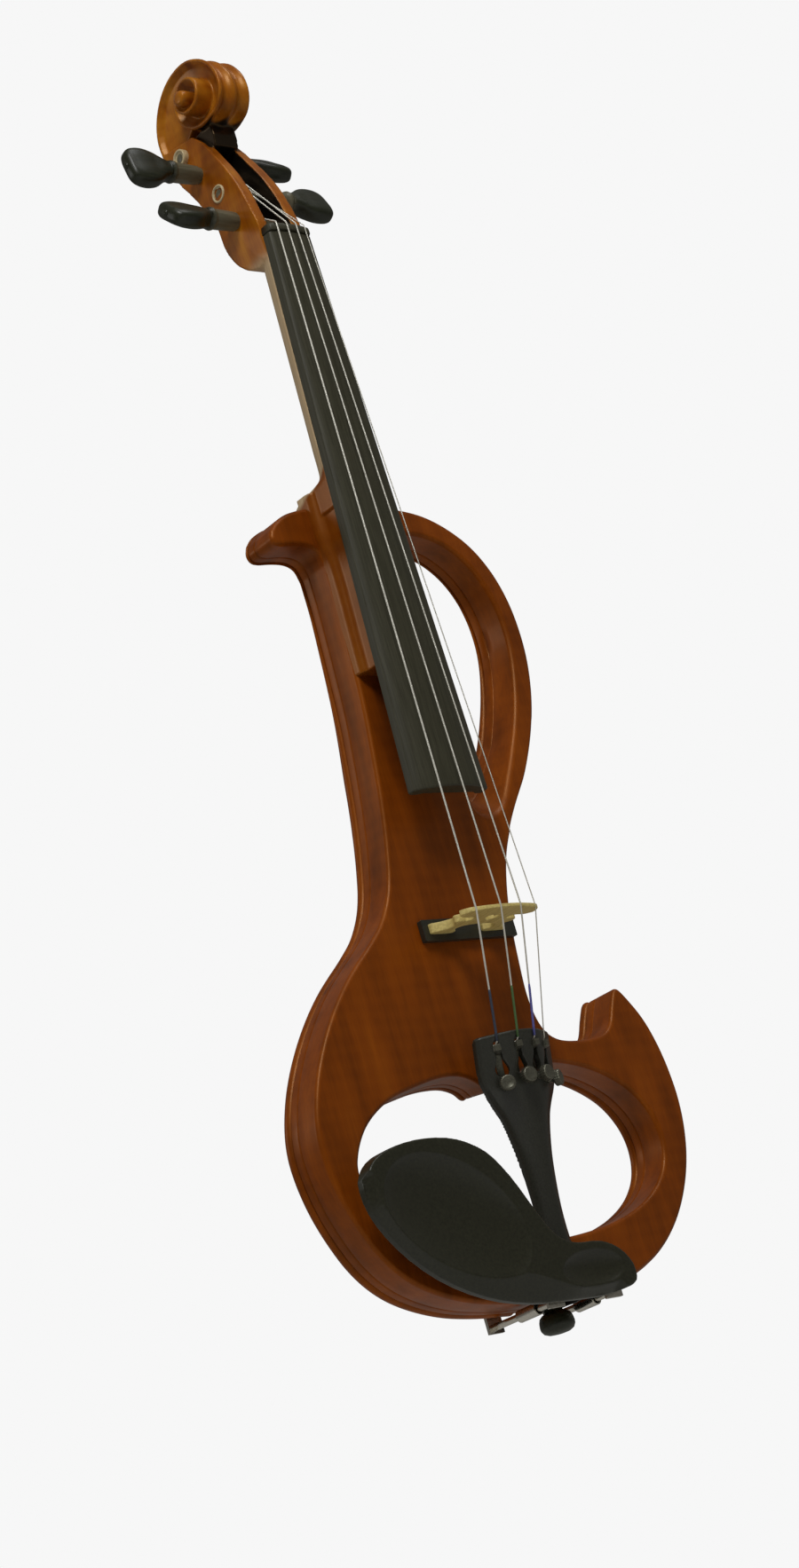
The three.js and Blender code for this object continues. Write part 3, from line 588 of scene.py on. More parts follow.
def peg_wood():
    """Dark polished heads on paler shafts; the paler shafts are painted light."""
    g = Graph("peg_wood")
    pattern = g.noise((0.06, 1, 1), 900, 6, 0.6)
    g.bump(pattern, 0.02, 0.35)
    polished = g.ramp(pattern, (0.3, (0.008, 0.010, 0.003)), (0.72, (0.022, 0.024, 0.010)))
    # Painted light: the shafts are painted paler than the heads.
    lit_shafts = g.ramp(pattern, (0.3, (0.085, 0.075, 0.042)), (0.72, (0.15, 0.135, 0.085)))
    aside = g.maths("ABSOLUTE", g.axis("X"), 0.0)
    colour = g.mix(g.band(aside, 0.026, 0.030), lit_shafts, polished)
    return g.finish(Base_Color=colour, Roughness=g.spread(pattern, 0.32, 0.45), Specular_IOR_Level=0.4)


def maple():
    g = Graph("maple")
    fibres = g.noise((1, 0.04, 1), 1100, 5, 0.6)
    flecks = g.noise((0.25, 1, 1), 2600, 2, 0.5)
    base = g.ramp(fibres, (0.3, (0.56, 0.43, 0.13)), (0.7, (0.82, 0.67, 0.24)))
    fleck = g.ramp(flecks, (0.62, (0, 0, 0)), (0.72, (1, 1, 1)))
    colour = g.mix(g.spread(fleck, 0.0, 0.55), base, (0.30, 0.19, 0.06))
    g.bump(fibres, 0.03, 0.3)
    return g.finish(Base_Color=colour, Roughness=0.55)


def winding(name, dark, light, pitch, metallic, rough):
    """Thread or ribbon wound round a string."""
    g = Graph(name)
    turns = g.wave((1, 1, 1), pitch, 0.3)
    wear = g.spread(g.noise((1, 1, 0.2), 500, 3), 0, 0.4)
    tone = g.mix(wear, g.ramp(turns, (0.2, dark), (0.8, light)), dark)
    g.bump(turns, 0.04, 0.6)
    return g.finish(Base_Color=tone, Roughness=rough, Metallic=metallic)


def cell():
    g = Graph("cell")
    bands = g.band(g.axis("X"), -0.0335, -0.0330)
    grain = g.noise((1, 1, 1), 700, 3)
    dark = g.ramp(grain, (0.3, (0.02, 0.022, 0.026)), (0.7, (0.035, 0.038, 0.044)))
    copper = g.ramp(grain, (0.3, (0.30, 0.15, 0.05)), (0.7, (0.40, 0.21, 0.08)))
    return g.finish(Base_Color=g.mix(bands, copper, dark), Roughness=0.35, Metallic=0.5)


MATERIALS = {
    "varnish": varnish(),
    "varnish_neck": varnish_neck(),
    "ebony": speckled("ebony", (0.030, 0.028, 0.014), (0.062, 0.058, 0.034), (0.42, 0.58), (1, 1, 0.03), 1500,
                      0.04, Specular_IOR_Level=0.35),
    "ebony_gloss": speckled("ebony_gloss", (0.010, 0.012, 0.004), (0.026, 0.027, 0.012), (0.32, 0.45),
                            (0.06, 1, 1), 900, 0.02, Specular_IOR_Level=0.4),
    "peg_wood": peg_wood(),
    "maple": maple(),
    "bone": speckled("bone", (0.52, 0.40, 0.20), (0.66, 0.54, 0.32), (0.35, 0.5), scale=900),
    "composite": speckled("composite", (0.018, 0.018, 0.012), (0.034, 0.034, 0.024), (0.28, 0.4), scale=1600,
                          bump=0.015),
    "chinrest": speckled("chinrest", (0.016, 0.016, 0.008), (0.030, 0.030, 0.016), (0.27, 0.38), scale=900,
                         bump=0.015, Specular_IOR_Level=0.4),
    "tuner": speckled("tuner", (0.09, 0.088, 0.064), (0.16, 0.155, 0.115), (0.3, 0.42), scale=1500, bump=0.01,
                      Metallic=0.6),
    "nickel": speckled("nickel", (0.52, 0.49, 0.42), (0.66, 0.63, 0.56), (0.16, 0.28), scale=900, bump=0.01,
                       Metallic=1.0),
    "string_wire": winding("string_wire", (0.56, 0.54, 0.46), (0.90, 0.88, 0.78), 900, 0.25, 0.3),
    "cork": speckled("cork", (0.20, 0.11, 0.045), (0.44, 0.28, 0.13), (0.8, 0.95), scale=1500, bump=0.15),
    "nylon": speckled("nylon", (0.008, 0.008, 0.007), (0.02, 0.02, 0.018), (0.4, 0.5), scale=1200),
    "circuit": speckled("circuit", (0.006, 0.06, 0.02), (0.015, 0.11, 0.04), (0.35, 0.5), scale=500),
    "cell": cell(),
}
for note, s in STRINGS.items():
    if s["silk"]:
        light = tuple(min(1, 2.2 * c) for c in s["silk"])
        MATERIALS["silk_" + note] = winding("silk_" + note, s["silk"], light, 700, 0.0, 0.65)


def dress(node, slot, width):
    """A CAD node that stays: eased edges and its own finish."""
    obj = nodes[node]
    obj.data.materials.clear()
    obj.data.materials.append(MATERIALS[slot])
    weld = obj.modifiers.new("Weld", "WELD")
    weld.merge_threshold = 1e-6
    bevel = obj.modifiers.new("Bevel", "BEVEL")
    bevel.width = width * MM
    bevel.segments = 3
    bevel.limit_method = "ANGLE"
    bevel.angle_limit = math.radians(30)
    bevel.use_clamp_overlap = True
    for polygon in obj.data.polygons:
        polygon.use_smooth = True
    evened(obj)


# ---- body ----
LOOP_LEAN = [(205, 6.0), (245, 5.8), (262, 5.2), (283, 3.8), (298, 2.8), (314, 2.0), (330, 0.8), (350, 0)]


def edge_shift(p, depth):
    """The walls of the openings lean: their back edge isn't straight behind the front one."""
    back = clamped(depth / PLATE_BACK, 0, 1)
    x, z = p
    on_lower_opening = -60 < x < 60 and 82 < z < 104
    if on_lower_opening:
        near_cusp = math.exp(-((x + 9) / 13) ** 2)
        x += 3.8 * near_cusp * back
        z += 3.4 * near_cusp * back
    on_loop = 15 < x < 80 and 205 < z < 350
    if on_loop:
        x -= back * eased(x, 34, 52) * along_table(LOOP_LEAN, z)
        z += back * 0.5 * max(0, 250 - z)
    return x, z


def blunted(loop):
    """The fin's tip worn round."""
    tip = max((p for p in loop if p.x > 40 and p.y < 180), key=lambda p: p.y)
    count = len(loop)
    reach, rounds = 8, 16
    for _ in range(rounds):
        loop = [p if (p - tip).length > reach else (loop[i - 1] + p * 2 + loop[(i + 1) % count]) / 4
                for i, p in enumerate(loop)]
    return loop


def body_loops(node, depth):
    outer, *holes = loops_of(node, 1, depth)
    big = [loop for loop in holes if abs(area(loop)) > 4000]
    loops = [blunted(flowing(outer, 3, closed=True))] + [flowing(loop, 4, closed=True) for loop in big]
    pockets = [[Vector(p) for p in loop] for loop in holes if abs(area(loop)) <= 4000]
    return loops, pockets


def body_core():
    loops, _ = body_loops("body_core", 0)
    _, bays = body_loops("body_core", CORE_BACK)
    floors = [(bay, 2.5 if abs(area(bay)) > 1500 else 4.0) for bay in bays]
    bead = [(0, 12.6), (0.5, 13.0), (0.5, 13.3), (0, 13.7)]
    profile = quarter(2.0, 0, 1, 6) + [(0, 9)] + bead + quarter(0.9, CORE_BACK, -1, 3)

    def place(p, depth):
        x, z = edge_shift(p, depth)
        return x, depth, z

    board = edged(loops, profile, place, floors)
    piece(evened(board), "body_wood", "varnish", "body_core")


def plate_back(z):
    return between(clamped(z, 238, 312), 238, 312, PLATE_BACK, 19.6)


def back_plate():
    loops, bays = body_loops("back_plate", CORE_BACK)
    angles = [math.pi * k / 10 for k in range(11)]
    round_edge = [(2.3 * (1 - math.sin(angle)), (1 - math.cos(angle)) / 2) for angle in angles]
    battery = max(bays, key=lambda bay: abs(area(bay)))

    def place(p, share):
        depth = between(share, 0, 1, CORE_BACK, plate_back(p[1]))
        x, z = edge_shift(p, depth)
        return x, depth, z

    board = edged(loops, round_edge, place, openings=[battery])
    piece(evened(board), "back_board", "varnish", "back_plate")


# ---- neck, pegbox and scroll ----
def neck_shaft():
    half_section = [(-1, 0), (-0.98, 0.12), (-0.9, 0.36), (-0.76, 0.64), (-0.56, 0.84), (-0.3, 0.96), (0, 1)]
    back = flowing(half_section, 4)
    section = [(p.x, p.y) for p in back] + [(-p.x, p.y) for p in back[-2::-1]]
    shaft_depth, heel_depth, heel_reach = 12.2, 21.0, 4.6
    rings = []
    for k in range(91):
        z = 352 + 132 * (k / 90) ** 1.7
        heel = 1 / (1 + (max(0, z - BODY_TOP) / heel_reach) ** 6)
        depth = shaft_depth + heel_depth * heel
        half = min(board_half(z) - 0.3, 15.2)
        ring = []
        for x, y in section:
            fuller = math.copysign(1 - (1 - abs(x)) ** (1 + 1.2 * heel), x)
            ring.append((fuller * half, glue_y(z) + y * depth, z))
        rings.append(ring)
    return loft(rings)


FOOT_EDGE = [(278, 16.3), (298, 15.75), (318, 15.15), (331, 15.35), (338, 16.4), (345, 17.5), (364, 17.5)]


def neck_foot():
    rings = []
    for k in range(45):
        z = between(k, 0, 44, FOOT_EDGE[0][0], FOOT_EDGE[-1][0])
        rise = glue_y(z)
        wall = min(along_table(FOOT_EDGE, z) - 2.2, 14.4)
        edge = {-1: along_table(FOOT_EDGE, z), 1: 15.2}
        ring = []
        for side in (-1, 1):
            outer = edge[side]
            half = [(outer, 4.5), (outer, -1.6), (outer - 0.3, -2.9), (outer - 0.9, -3.9),
                    (outer - 1.8, -4.7), (wall, -6.4), (wall, rise + 0.5), (wall - 0.4, rise)]
            ring += [(side * x, y, z) for x, y in (half if side < 0 else half[::-1])]
        rings.append(ring)
    return loft(rings)


PEGBOX = [
    ((-16.9, 478), (-12, 474.6)), ((-16.8, 482), (-6.7, 475.1)), ((-16.8, 486), (-1.1, 477.4)),
    ((-17.2, 489.5), (3.5, 481.8)), ((-17, 494), (7.2, 488)), ((-15.8, 499.5), (9.3, 496)),
    ((-14, 507), (10, 505)), ((-11.3, 516), (14, 516)), ((-6.6, 527), (21, 529)), ((-0.4, 538.5), (28, 540)),
    ((5.6, 548.5), (33, 551)), ((12, 555.5), (35.8, 560)),
]
CHEEKS = [(474, 11.6), (488, 12.5), (500, 13.0), (520, 12.7), (540, 11.4), (560, 9.4)]


def fluted(u, depth):
    """Two channels between three ridges, u from -1 to 1 across."""
    return depth * math.sin(math.pi * abs(u)) ** 2


def pegbox():
    fronts = flowing([row[0] for row in PEGBOX], 6)
    backs = flowing([row[1] for row in PEGBOX], 6)
    rings = []
    across = 24
    for front, back in zip(fronts, backs):
        inward = (front - back).normalized()
        half_f = along_table(CHEEKS, front.y)
        half_b = along_table(CHEEKS, back.y) - 0.6
        depth = 2.0 * eased(back.y, 486, 505)
        ring = []
        for k in range(across + 1):
            u = -1 + 2 * k / across
            point = back + inward * fluted(u, depth)
            ring.append((u * half_b, point.x, point.y))
        middle = (front + back) / 2
        ring.append(((half_f + half_b) / 2 + 0.5, middle.x, middle.y))
        ring += [(u * half_f, front.x, front.y) for u in (1, 0.5, 0, -0.5, -1)]
        ring.append((-(half_f + half_b) / 2 - 0.5, middle.x, middle.y))
        rings.append(ring)
    hollow_side = [(-32, 491.6), (2.6, 491.6), (5.2, 497), (7.0, 507), (10.8, 518), (17.4, 531), (23.6, 543),
                   (25.5, 553), (16, 560), (-32, 560)]
    hollow = []
    for share in (-1, 1):
        hollow.append([(share * between(z, 486, 556, 7.6, 5.4), y, z) for y, z in hollow_side])
    # The throat block under the scroll fills a gap and carries painted shade: varnish_neck paints it
    # near-black.
    throat_side = [(1.6, 545.5), (0.6, 551), (1.4, 557), (20, 557), (27, 552), (22, 546), (12, 545.5)]
    throat = loft([[(x, y, z) for y, z in throat_side] for x in (-6.4, 7.0)])
    return [carved(loft(rings), loft(hollow)), throat]


SPIRAL = [(-36, 35.6), (-16, 33.8), (0, 32.6), (31, 28.7), (50, 26.2), (68, 23.9), (90, 21.7), (111, 19.8),
          (144, 18.6), (171, 18.7), (195, 18.8), (218, 17.7), (246, 14.9), (287, 13.5), (330, 12.9),
          (380, 12.3), (450, 11.0), (540, 9.4), (630, 7.7), (700, 6.2), (760, 5.2), (800, 4.8)]
SPREAD = [(-36, 9.2), (0, 8.9), (90, 8.4), (180, 8.7), (250, 10.0), (320, 11.4), (400, 12.6), (500, 14.2),
          (600, 15.8), (700, 17.2), (800, 18.2)]


def volute():
    rings = []
    across = 24
    for degrees in range(-36, 801, 6):
        angle = math.radians(degrees)
        radius = along_table(SPIRAL, degrees)
        half = along_table(SPREAD, degrees)
        depth = 2.1 * (1 - eased(degrees, 235, 270))
        side = [(0, half - 4.2), (radius * 0.55, half - 3.9), (radius - 3.6, half - 2.6),
                (radius - 2.0, half - 0.9), (radius - 1.2, half), (radius - 0.3, half - 0.3)]
        rim = []
        for k in range(across + 1):
            u = 1 - 2 * k / across
            rim.append((radius - fluted(u, depth), u * (half - 0.6)))
        section = side + rim + [(r, -x) for r, x in side[::-1]]
        rings.append([
            (x, EYE[0] + r * math.cos(angle), EYE[1] + r * math.sin(angle)) for r, x in section
        ])
    eye = turned([(0, -19.0), (2.4, -18.9), (3.6, -18.0), (3.9, -16), (3.9, 16), (3.6, 18.0), (2.4, 18.9),
                  (0, 19.0)], "x", (0, *EYE))
    return [loft(rings), eye]


def neck():
    carving = fused([neck_shaft(), neck_foot(), *pegbox(), *volute()], 0.5, 2)
    piece(carving, "neck_carving", "varnish_neck", "neck")


# ---- fingerboard and nut ----
def fingerboard():
    rings = []
    rows = [(0.0, 0.9), (0.25, 0.35), (0.9, 0.0)]
    length = NUT_Z - 0.3 - BOARD_END_Z
    places = rows + [(k * length / 40, 0.0) for k in range(1, 40)] + [(length - 0.3, 0.0), (length, 0.3)]
    for along, ease in places:
        z = BOARD_END_Z + along
        half = board_half(z) - ease
        crown = board_crown(z) + ease
        under = glue_y(z) - ease * 0.6
        hollow = 1.6 * (1 - eased(z, 222, 274))
        edge = crown + crown_drop(half)
        side = [(half - 0.5, under), (half, under - 0.5), (half, edge + 1.0), (half - 0.15, edge + 0.45),
                (half - 0.6, edge + 0.02)]
        top = [(half - 0.6) * (1 - 2 * k / 28) for k in range(1, 28)]
        inner = [(-half + 3.2, under), (-half + 6, under - hollow), (half - 6, under - hollow),
                 (half - 3.2, under)]
        ring = [(-x, y) for x, y in side[::-1]] + inner + side + [(x, crown + crown_drop(x)) for x in top]
        rings.append([(x, y, z) for x, y in ring])
    board = loft(rings)
    piece(evened(board), "fingerboard_ebony", "ebony", "fingerboard")


def nut():
    rings = []
    base = glue_y(NUT_Z)
    rows = [(0, 0.5), (0.15, 0.15), (0.5, 0), (1.6, 0), (2.7, 0.12), (3.4, 0.45), (3.8, 0.95), (4.0, 1.7)]
    for z, ease in rows:
        half = 12 - ease * 0.5
        ring = [(-half, base), (half, base)]
        for k in range(97):
            x = half - 2 * half * k / 96
            groove = sum(math.exp(-((x - s["nut"]) / (s["radius"] * 1.25)) ** 4) for s in STRINGS.values())
            corner = 1.2 * max(0, abs(x) / half - 0.93) / 0.07
            ring.append((x, board_crown(NUT_Z) - 0.9 + crown_drop(x) + ease + corner + 0.42 * groove))
        rings.append([(x, y, NUT_Z + z) for x, y in ring])
    piece(evened(loft(rings)), "nut_ebony", "ebony", "nut")


# ---- bridge and pickup ----
def bridge():
    low_z = BRIDGE_Z - 2.2
    outer, *holes = loops_of("bridge", 2, low_z, smallest=2)
    loops = [flowing(loop, 3, closed=True) for loop in (outer, *holes)]
    profile = [(0.45, 0.0), (0.15, 0.04), (0.0, 0.12), (0.0, 0.5), (0.0, 0.88), (0.15, 0.96), (0.45, 1.0)]

    def place(p, share):
        height = -3 - p[1]
        thick = between(height, 0, 30.2, 4.4, 1.5) + 0.25 * math.sin(math.pi * clamped(height / 30, 0, 1))
        return p[0], p[1], low_z + share * thick

    board = edged(loops, profile, place)
    piece(evened(board), "bridge_maple", "maple", "bridge")


# ---- tailpiece ----
TAIL_HALVES = [(8, 9.2), (20, 7.8), (38, 7.3), (47, 7.5), (55, 8.1), (62, 9.3), (69, 11.0), (75, 12.9),
               (80, 15.6), (85, 18.3), (90, 20.1), (96, 20.7), (103, 20.7), (109, 20.6)]


def swung(obj, tail_x):
    """Drawn over the crown at the tuners, then swung to its string."""
    centre = tail_crown(96) + TAIL_ARCH
    move = (Matrix.Translation((0, centre * MM, 0)) @ Matrix.Rotation(math.asin(tail_x / TAIL_ARCH), 4, "Z")
            @ Matrix.Translation((0, -centre * MM, 0)))
    obj.data.transform(move)
    return obj


def key_slot():
    rings = []
    crown = tail_crown(97)
    half = [(0, 91), (2.1, 91.8), (2.9, 94), (2.2, 96.4), (1.35, 98.6), (1.15, 103), (0.9, 105.4), (0, 106.1)]
    side = flowing(half, 5)
    loop = [(p.x, p.y) for p in side] + [(-p.x, p.y) for p in side[-2:0:-1]]
    for y in (crown - 9, crown + 12):
        rings.append([(x, y, z) for x, z in loop])
    return loft(rings)


def tailpiece():
    rings = []
    rows = [(8, 1.3), (8.35, 0.5), (9.2, 0)] + [(9.2 + k * 98.6 / 70, 0) for k in range(1, 71)]
    rows += [(108.6, 0.5), (109, 1.3)]
    for z, ease in rows:
        half = along_table(TAIL_HALVES, z) - ease * 0.6
        ring = []
        columns = 36
        for k in range(columns + 1):
            u = -1 + 2 * k / columns
            x = u * half
            edge = 1.1 * max(0, (abs(u) - 0.94) / 0.06) ** 2
            ring.append((x, tail_y(x, z) + edge + ease, z))
        for k in range(columns + 1):
            u = 1 - 2 * k / columns
            x = u * (half - 0.1)
            ring.append((x, min(tail_y(x, z) + 3.4 - ease * 0.5, -1.7) + 0.001 * k, z))
        rings.append(ring)
    shell = loft(rings)
    cutters = [swung(key_slot(), s["tail"]) for s in STRINGS.values()]
    body = fused([carved(shell, *cutters)], 0.38, 2)
    piece(body, "tailpiece_shell", "composite", "tailpiece")


def tuners():
    for note, s in STRINGS.items():
        z = 87.5 if abs(s["tail"]) > 9 else 89
        crown = tail_crown(z)

        def knurl(radius, distance, angle):
            return 0.13 * math.cos(22 * angle) if radius > 3 and -5.6 < distance - crown < -2.7 else 0

        profile = [(0, -5.55), (1.5, -5.6), (2.2, -5.95), (2.7, -6.0), (3.05, -5.8), (3.3, -5.4), (3.3, -4.9),
                   (3.3, -4.2), (3.3, -3.5), (3.3, -3.0), (2.9, -2.6), (2.2, -2.4), (1.5, -2.3), (1.3, -1.6)]
        for k in range(14):
            profile += [(1.3, -1.5 + 0.4 * k), (1.08, -1.3 + 0.4 * k)]
        profile += [(1.2, 4.2), (0, 4.4)]
        screw = turned([(r, crown + d) for r, d in profile], "y", (0, 0, z), 132, knurl)
        piece(evened(swung(screw, s["tail"])), f"tuner_knob_{note}", "tuner", f"tuner_screw_{note}",
              body=f"tuner_screw_{note}")


# ---- strings ----
def string_route(note):
    s, p = STRINGS[note], PEGS[note]
    nut_y = board_crown(NUT_Z) - 0.9 + crown_drop(s["nut"]) - s["radius"] * 0.4
    bridge_y = -33.2 + crown_drop(s["bridge"]) - s["radius"] * 0.7
    wrap = 4.0 + s["radius"]
    wind_x = s["nut"] * 0.45
    coil = []
    turns = 4
    for k in range(turns * 20):
        angle = -2 * math.pi * k / 20
        x = wind_x + (turns - k / 20) * 2 * s["radius"] * math.copysign(1, -wind_x)
        coil.append((x, p["y"] - wrap * math.cos(angle), p["z"] - 0.5 + wrap * math.sin(angle)))
    bends = [(s["nut"], nut_y + 0.25, NUT_Z + 4.0), (s["nut"], nut_y, NUT_Z + 2.6),
             (s["nut"], nut_y, NUT_Z + 0.2), (s["bridge"], bridge_y, BRIDGE_Z + 0.4),
             (s["bridge"], bridge_y, BRIDGE_Z - 1.6)]
    tail_x = s["tail"] * 1.05
    tail = [(tail_x, tail_y(tail_x, 109) - 0.7, 109.5), (tail_x, tail_y(tail_x, 105.5) - 0.35, 105.5),
            (tail_x * 0.995, tail_y(tail_x, 103) + 1.2, 103.2)]
    return coil + bends + tail


def strings():
    for note, s in STRINGS.items():
        route = string_route(note)
        wire = tube(route, s["radius"], 14)
        ball = turned([(0.5, -1.5), (1.4, -1.4), (1.5, 0), (1.4, 1.4), (0.5, 1.5)], "x", route[-1], 20)
        piece(together([wire, ball]), f"string_line_{note}", "string_wire", f"string_{note}")
        if not s["silk"]:
            continue
        end, bridge_point = Vector(route[-3]), Vector(route[-4])
        silk_end = end.lerp(bridge_point, 0.34)
        path = [Vector(route[-2]), end] + [end.lerp(silk_end, k / 12) for k in range(1, 13)]
        thick = s["radius"] + 0.16

        def tapered(share, thick=thick):
            return thick * (1 - 0.22 * eased(share, 0.93, 1))

        piece(tube(path, tapered, 18), f"string_silk_{note}", "string_wire", finish=f"silk_{note}")


# ---- pegs ----
def peg(note, p):
    tip = p["tip"]
    shaft = [(0, -13.0), (2.0, -12.9), (2.8, -12.4), (3.1, -11.5), (3.4, 6), (3.9, 13.3), (4.3, 13.8),
             (4.6, 20), (4.7, tip - 26.2), (4.8, tip - 25.6), (5.2, tip - 25.1), (5.35, tip - 24.4),
             (5.2, tip - 23.7), (4.8, tip - 23.3), (4.9, tip - 22.6), (4.4, tip - 22.0), (0, tip - 21.6)]
    heights = [(-23, 4.4), (-21, 4.7), (-18.5, 6.2), (-16, 8.0), (-13, 9.4), (-9.5, 10.1), (-6, 10.0),
               (-3, 9.2), (-1.2, 7.6), (-0.3, 5.2), (0, 2.2)]
    thick = [(-23, 4.4), (-21, 4.4), (-18, 4.7), (-13, 5.2), (-8, 5.2), (-4, 4.7), (-1.6, 3.7), (-0.4, 2.2),
             (0, 0.9)]
    rings = []
    for k in range(47):
        along = -23 + 23 * math.sin(math.pi / 2 * k / 46)
        high, deep = along_table(heights, along), along_table(thick, along)
        ring = []
        for j in range(36):
            angle = 2 * math.pi * j / 36
            u, v = math.cos(angle), math.sin(angle)
            pinch = 1 - 0.16 * eased(along, -20, -13) * (1 - abs(u)) ** 0.8 * (1 - eased(along, -4, 0))
            ring.append((tip + along, deep * pinch * math.copysign(abs(v) ** 0.62, v),
                         high * math.copysign(abs(u) ** 0.7, u)))
        rings.append(ring)
    dot = [(0, tip - 1), (1.3, tip - 0.6), (1.5, tip + 0.1), (1.0, tip + 0.7), (0, tip + 0.9)]
    pin = turned(dot, "x", (0, 0, 0), 24)
    body = together([turned(shaft, "x", (0, 0, 0), 40), loft(rings), pin])
    turn = Matrix.Rotation(p["turn"], 4, "X")
    if p["side"] < 0:
        turn = Matrix.Rotation(math.pi, 4, "Y") @ turn
    body.data.transform(Matrix.Translation((0, p["y"] * MM, p["z"] * MM)) @ turn)
    piece(evened(body), f"peg_turner_{note}", "ebony_gloss", f"peg_{note}", body=f"peg_{note}",
          finish="peg_wood")
    far = -p["side"]
    edge = [(3.2, 10.6), (4.3, 10.6), (4.3, 13.2), (3.9, 13.6), (3.3, 13.5), (3.2, 12.8)]
    ring = turned([(radius, far * distance) for radius, distance in edge], "x", (0, p["y"], p["z"]), 40)
    piece(evened(ring), f"peg_ring_{note}", "bone", f"peg_bushing_{note}")


# ---- chinrest ----
CHIN_TOP = -22
CHIN_BASE = -14
CUP = dict(x=-66, z=33.5, long=37, short=24.5, deep=5.0)
LOBE = dict(x=-3, z=6.0, long=17, short=7.5, deep=2.6)
CHIN_LEAN = 0.55
CHIN_UPPER_EDGE = [(-99, 62), (-87, 66), (-71, 67.5), (-55, 65.5), (-42, 59), (-33, 48), (-25, 33), (-18, 22),
                   (-9, 17.5), (5, 16.5), (14, 12.5), (19.5, 5), (18.5, -2)]
CHIN_LOWER_EDGE = [(8, -4.5), (-13, -4.5), (-37, -3), (-58, 2), (-79, 12.5), (-95, 27), (-104, 42),
                   (-105, 55)]


def hollowed(x, z, bowl, lean):
    """The depth of a leaning oval hollow at a place."""
    u = (x - bowl["x"]) * math.cos(lean) - (z - bowl["z"]) * math.sin(lean)
    v = (x - bowl["x"]) * math.sin(lean) + (z - bowl["z"]) * math.cos(lean)
    left = max(0, 1 - (u / bowl["long"]) ** 2 - (v / bowl["short"]) ** 2)
    return bowl["deep"] * left ** 0.75


def brick(low, high):
    (x0, y0, z0), (x1, y1, z1) = low, high
    return loft([[(x, y0, z0), (x, y1, z0), (x, y1, z1), (x, y0, z1)] for x in (x0, x1)])


def chinrest():
    """A slab on two feet, its front hollowed into cup and lobe and its lower edge sloped away."""
    outline = oriented(flowing(CHIN_UPPER_EDGE + CHIN_LOWER_EDGE, 3, closed=True), True)
    slab = edged([outline], [(0, CHIN_TOP), (0, CHIN_BASE)], lambda p, depth: (p[0], depth, p[1]))
    feet = [brick((-33, CHIN_BASE - 2, 3.5), (-12, -1.7, 15)),
            brick((11.6, CHIN_BASE - 2, 3.5), (18.6, -1.7, 10.5))]
    rest = fused([slab, *feet], 0.6, 6)
    lower_edge = flowing(CHIN_LOWER_EDGE, 60)
    nearest = KDTree(len(lower_edge))
    for i, p in enumerate(lower_edge):
        nearest.insert((p.x, p.y, 0), i)
    nearest.balance()
    for vertex in rest.data.vertices:
        x, y, z = vertex.co / MM
        raised = clamped((CHIN_BASE - y) / (CHIN_BASE - CHIN_TOP), 0, 1)
        if not raised:
            continue
        from_edge = nearest.find((x, z, 0))[2]
        width = 2.5 + 8.0 * eased(x, -104, -66) - 7.0 * eased(x, -38, -10)
        slope = 4.6 * max(0, 1 - from_edge / width) ** 0.8
        hollow = hollowed(x, z, CUP, CHIN_LEAN) + hollowed(x, z, LOBE, 0)
        vertex.co.y += max(slope, hollow) * raised * MM
    piece(rest, "chinrest_cup", "chinrest", "chinrest")


# ---- tail end and controls ----
def end_button():
    profile = [(0, -12.6), (2.4, -12.6), (4.6, -12.3), (6.4, -11.4), (7.3, -9.9), (7.45, -8.6), (7.2, -6.6),
               (6.6, -5.0), (5.4, -4.0), (4.0, -3.4), (3.6, -2.6), (3.6, -0.6), (3.9, 0.2), (3.4, 20.5),
               (0, 20.6)]
    button = turned(profile, "z", (0, 11.5, 0), 48)
    piece(evened(button), "end_button_turned", "ebony_gloss", "end_button")


def knobs():
    for name, x in {"volume_knob": -17, "tone_knob": 13}.items():
        def ribs(radius, distance, angle):
            return 0.22 * math.cos(24 * angle) if radius > 5.9 and distance < 34.8 else 0

        profile = [(0, 17), (3, 17), (3, 25.7), (7.0, 25.7), (7.3, 26.0), (7.4, 26.8), (7.4, 28.2), (7.1, 30),
                   (6.9, 32), (6.7, 34), (6.4, 35.2), (5.8, 35.8), (4.6, 35.9), (0, 35.7)]
        knob = turned(profile, "y", (x, 0, 170), 144, ribs)
        piece(evened(knob), name + "_cap", "composite", name, body=name)
    for k, (u, v) in enumerate([(-1, -1), (1, -1), (1, 1), (-1, 1)], 1):
        x, z = -2 + u * 21.4, 161 + v * 17.8
        dome = [(0, 24.4), (1.7, 24.4), (1.75, 25.2), (1.5, 25.5), (0.9, 25.65), (0, 25.7)]
        head = turned(dome, "y", (x, 0, z), 32)
        slots = []
        for a, b in [(1.1, 0.22), (0.22, 1.1)]:
            ring = [(-a, -b), (a, -b), (a, b), (-a, b)]
            slots.append(loft([[(x + p, y, z + q) for p, q in ring] for y in (25.1, 26.5)]))
        piece(evened(carved(head, *slots)), f"panel_screw_head_{k}", "nickel", f"panel_screw_{k}")


def kept_nodes():
    dress("saddle", "ebony", 0.6)
    dress("pickup_bar", "composite", 0.5)
    dress("control_panel", "composite", 0.5)
    dress("battery_door", "composite", 0.35)
    dress("tailgut", "nylon", 0.1)
    dress("pickup_lead", "nylon", 0.1)
    dress("preamp_board", "circuit", 0.15)
    dress("battery", "cell", 1.2)
    dress("clamp_foot", "nickel", 0.4)
    for side in ("left", "right"):
        dress(f"chinrest_cork_{side}", "cork", 0.3)
        dress(f"clamp_bracket_{side}", "nickel", 0.3)
        dress(f"clamp_barrel_{side}", "nickel", 0.2)
    dress("clamp_cork", "cork", 0.3)
    for jack in ("output_jack", "headphone_jack"):
        dress(jack, "nickel", 0.15)
    for note in STRINGS:
        dress(f"tuner_lever_{note}", "tuner", 0.25)


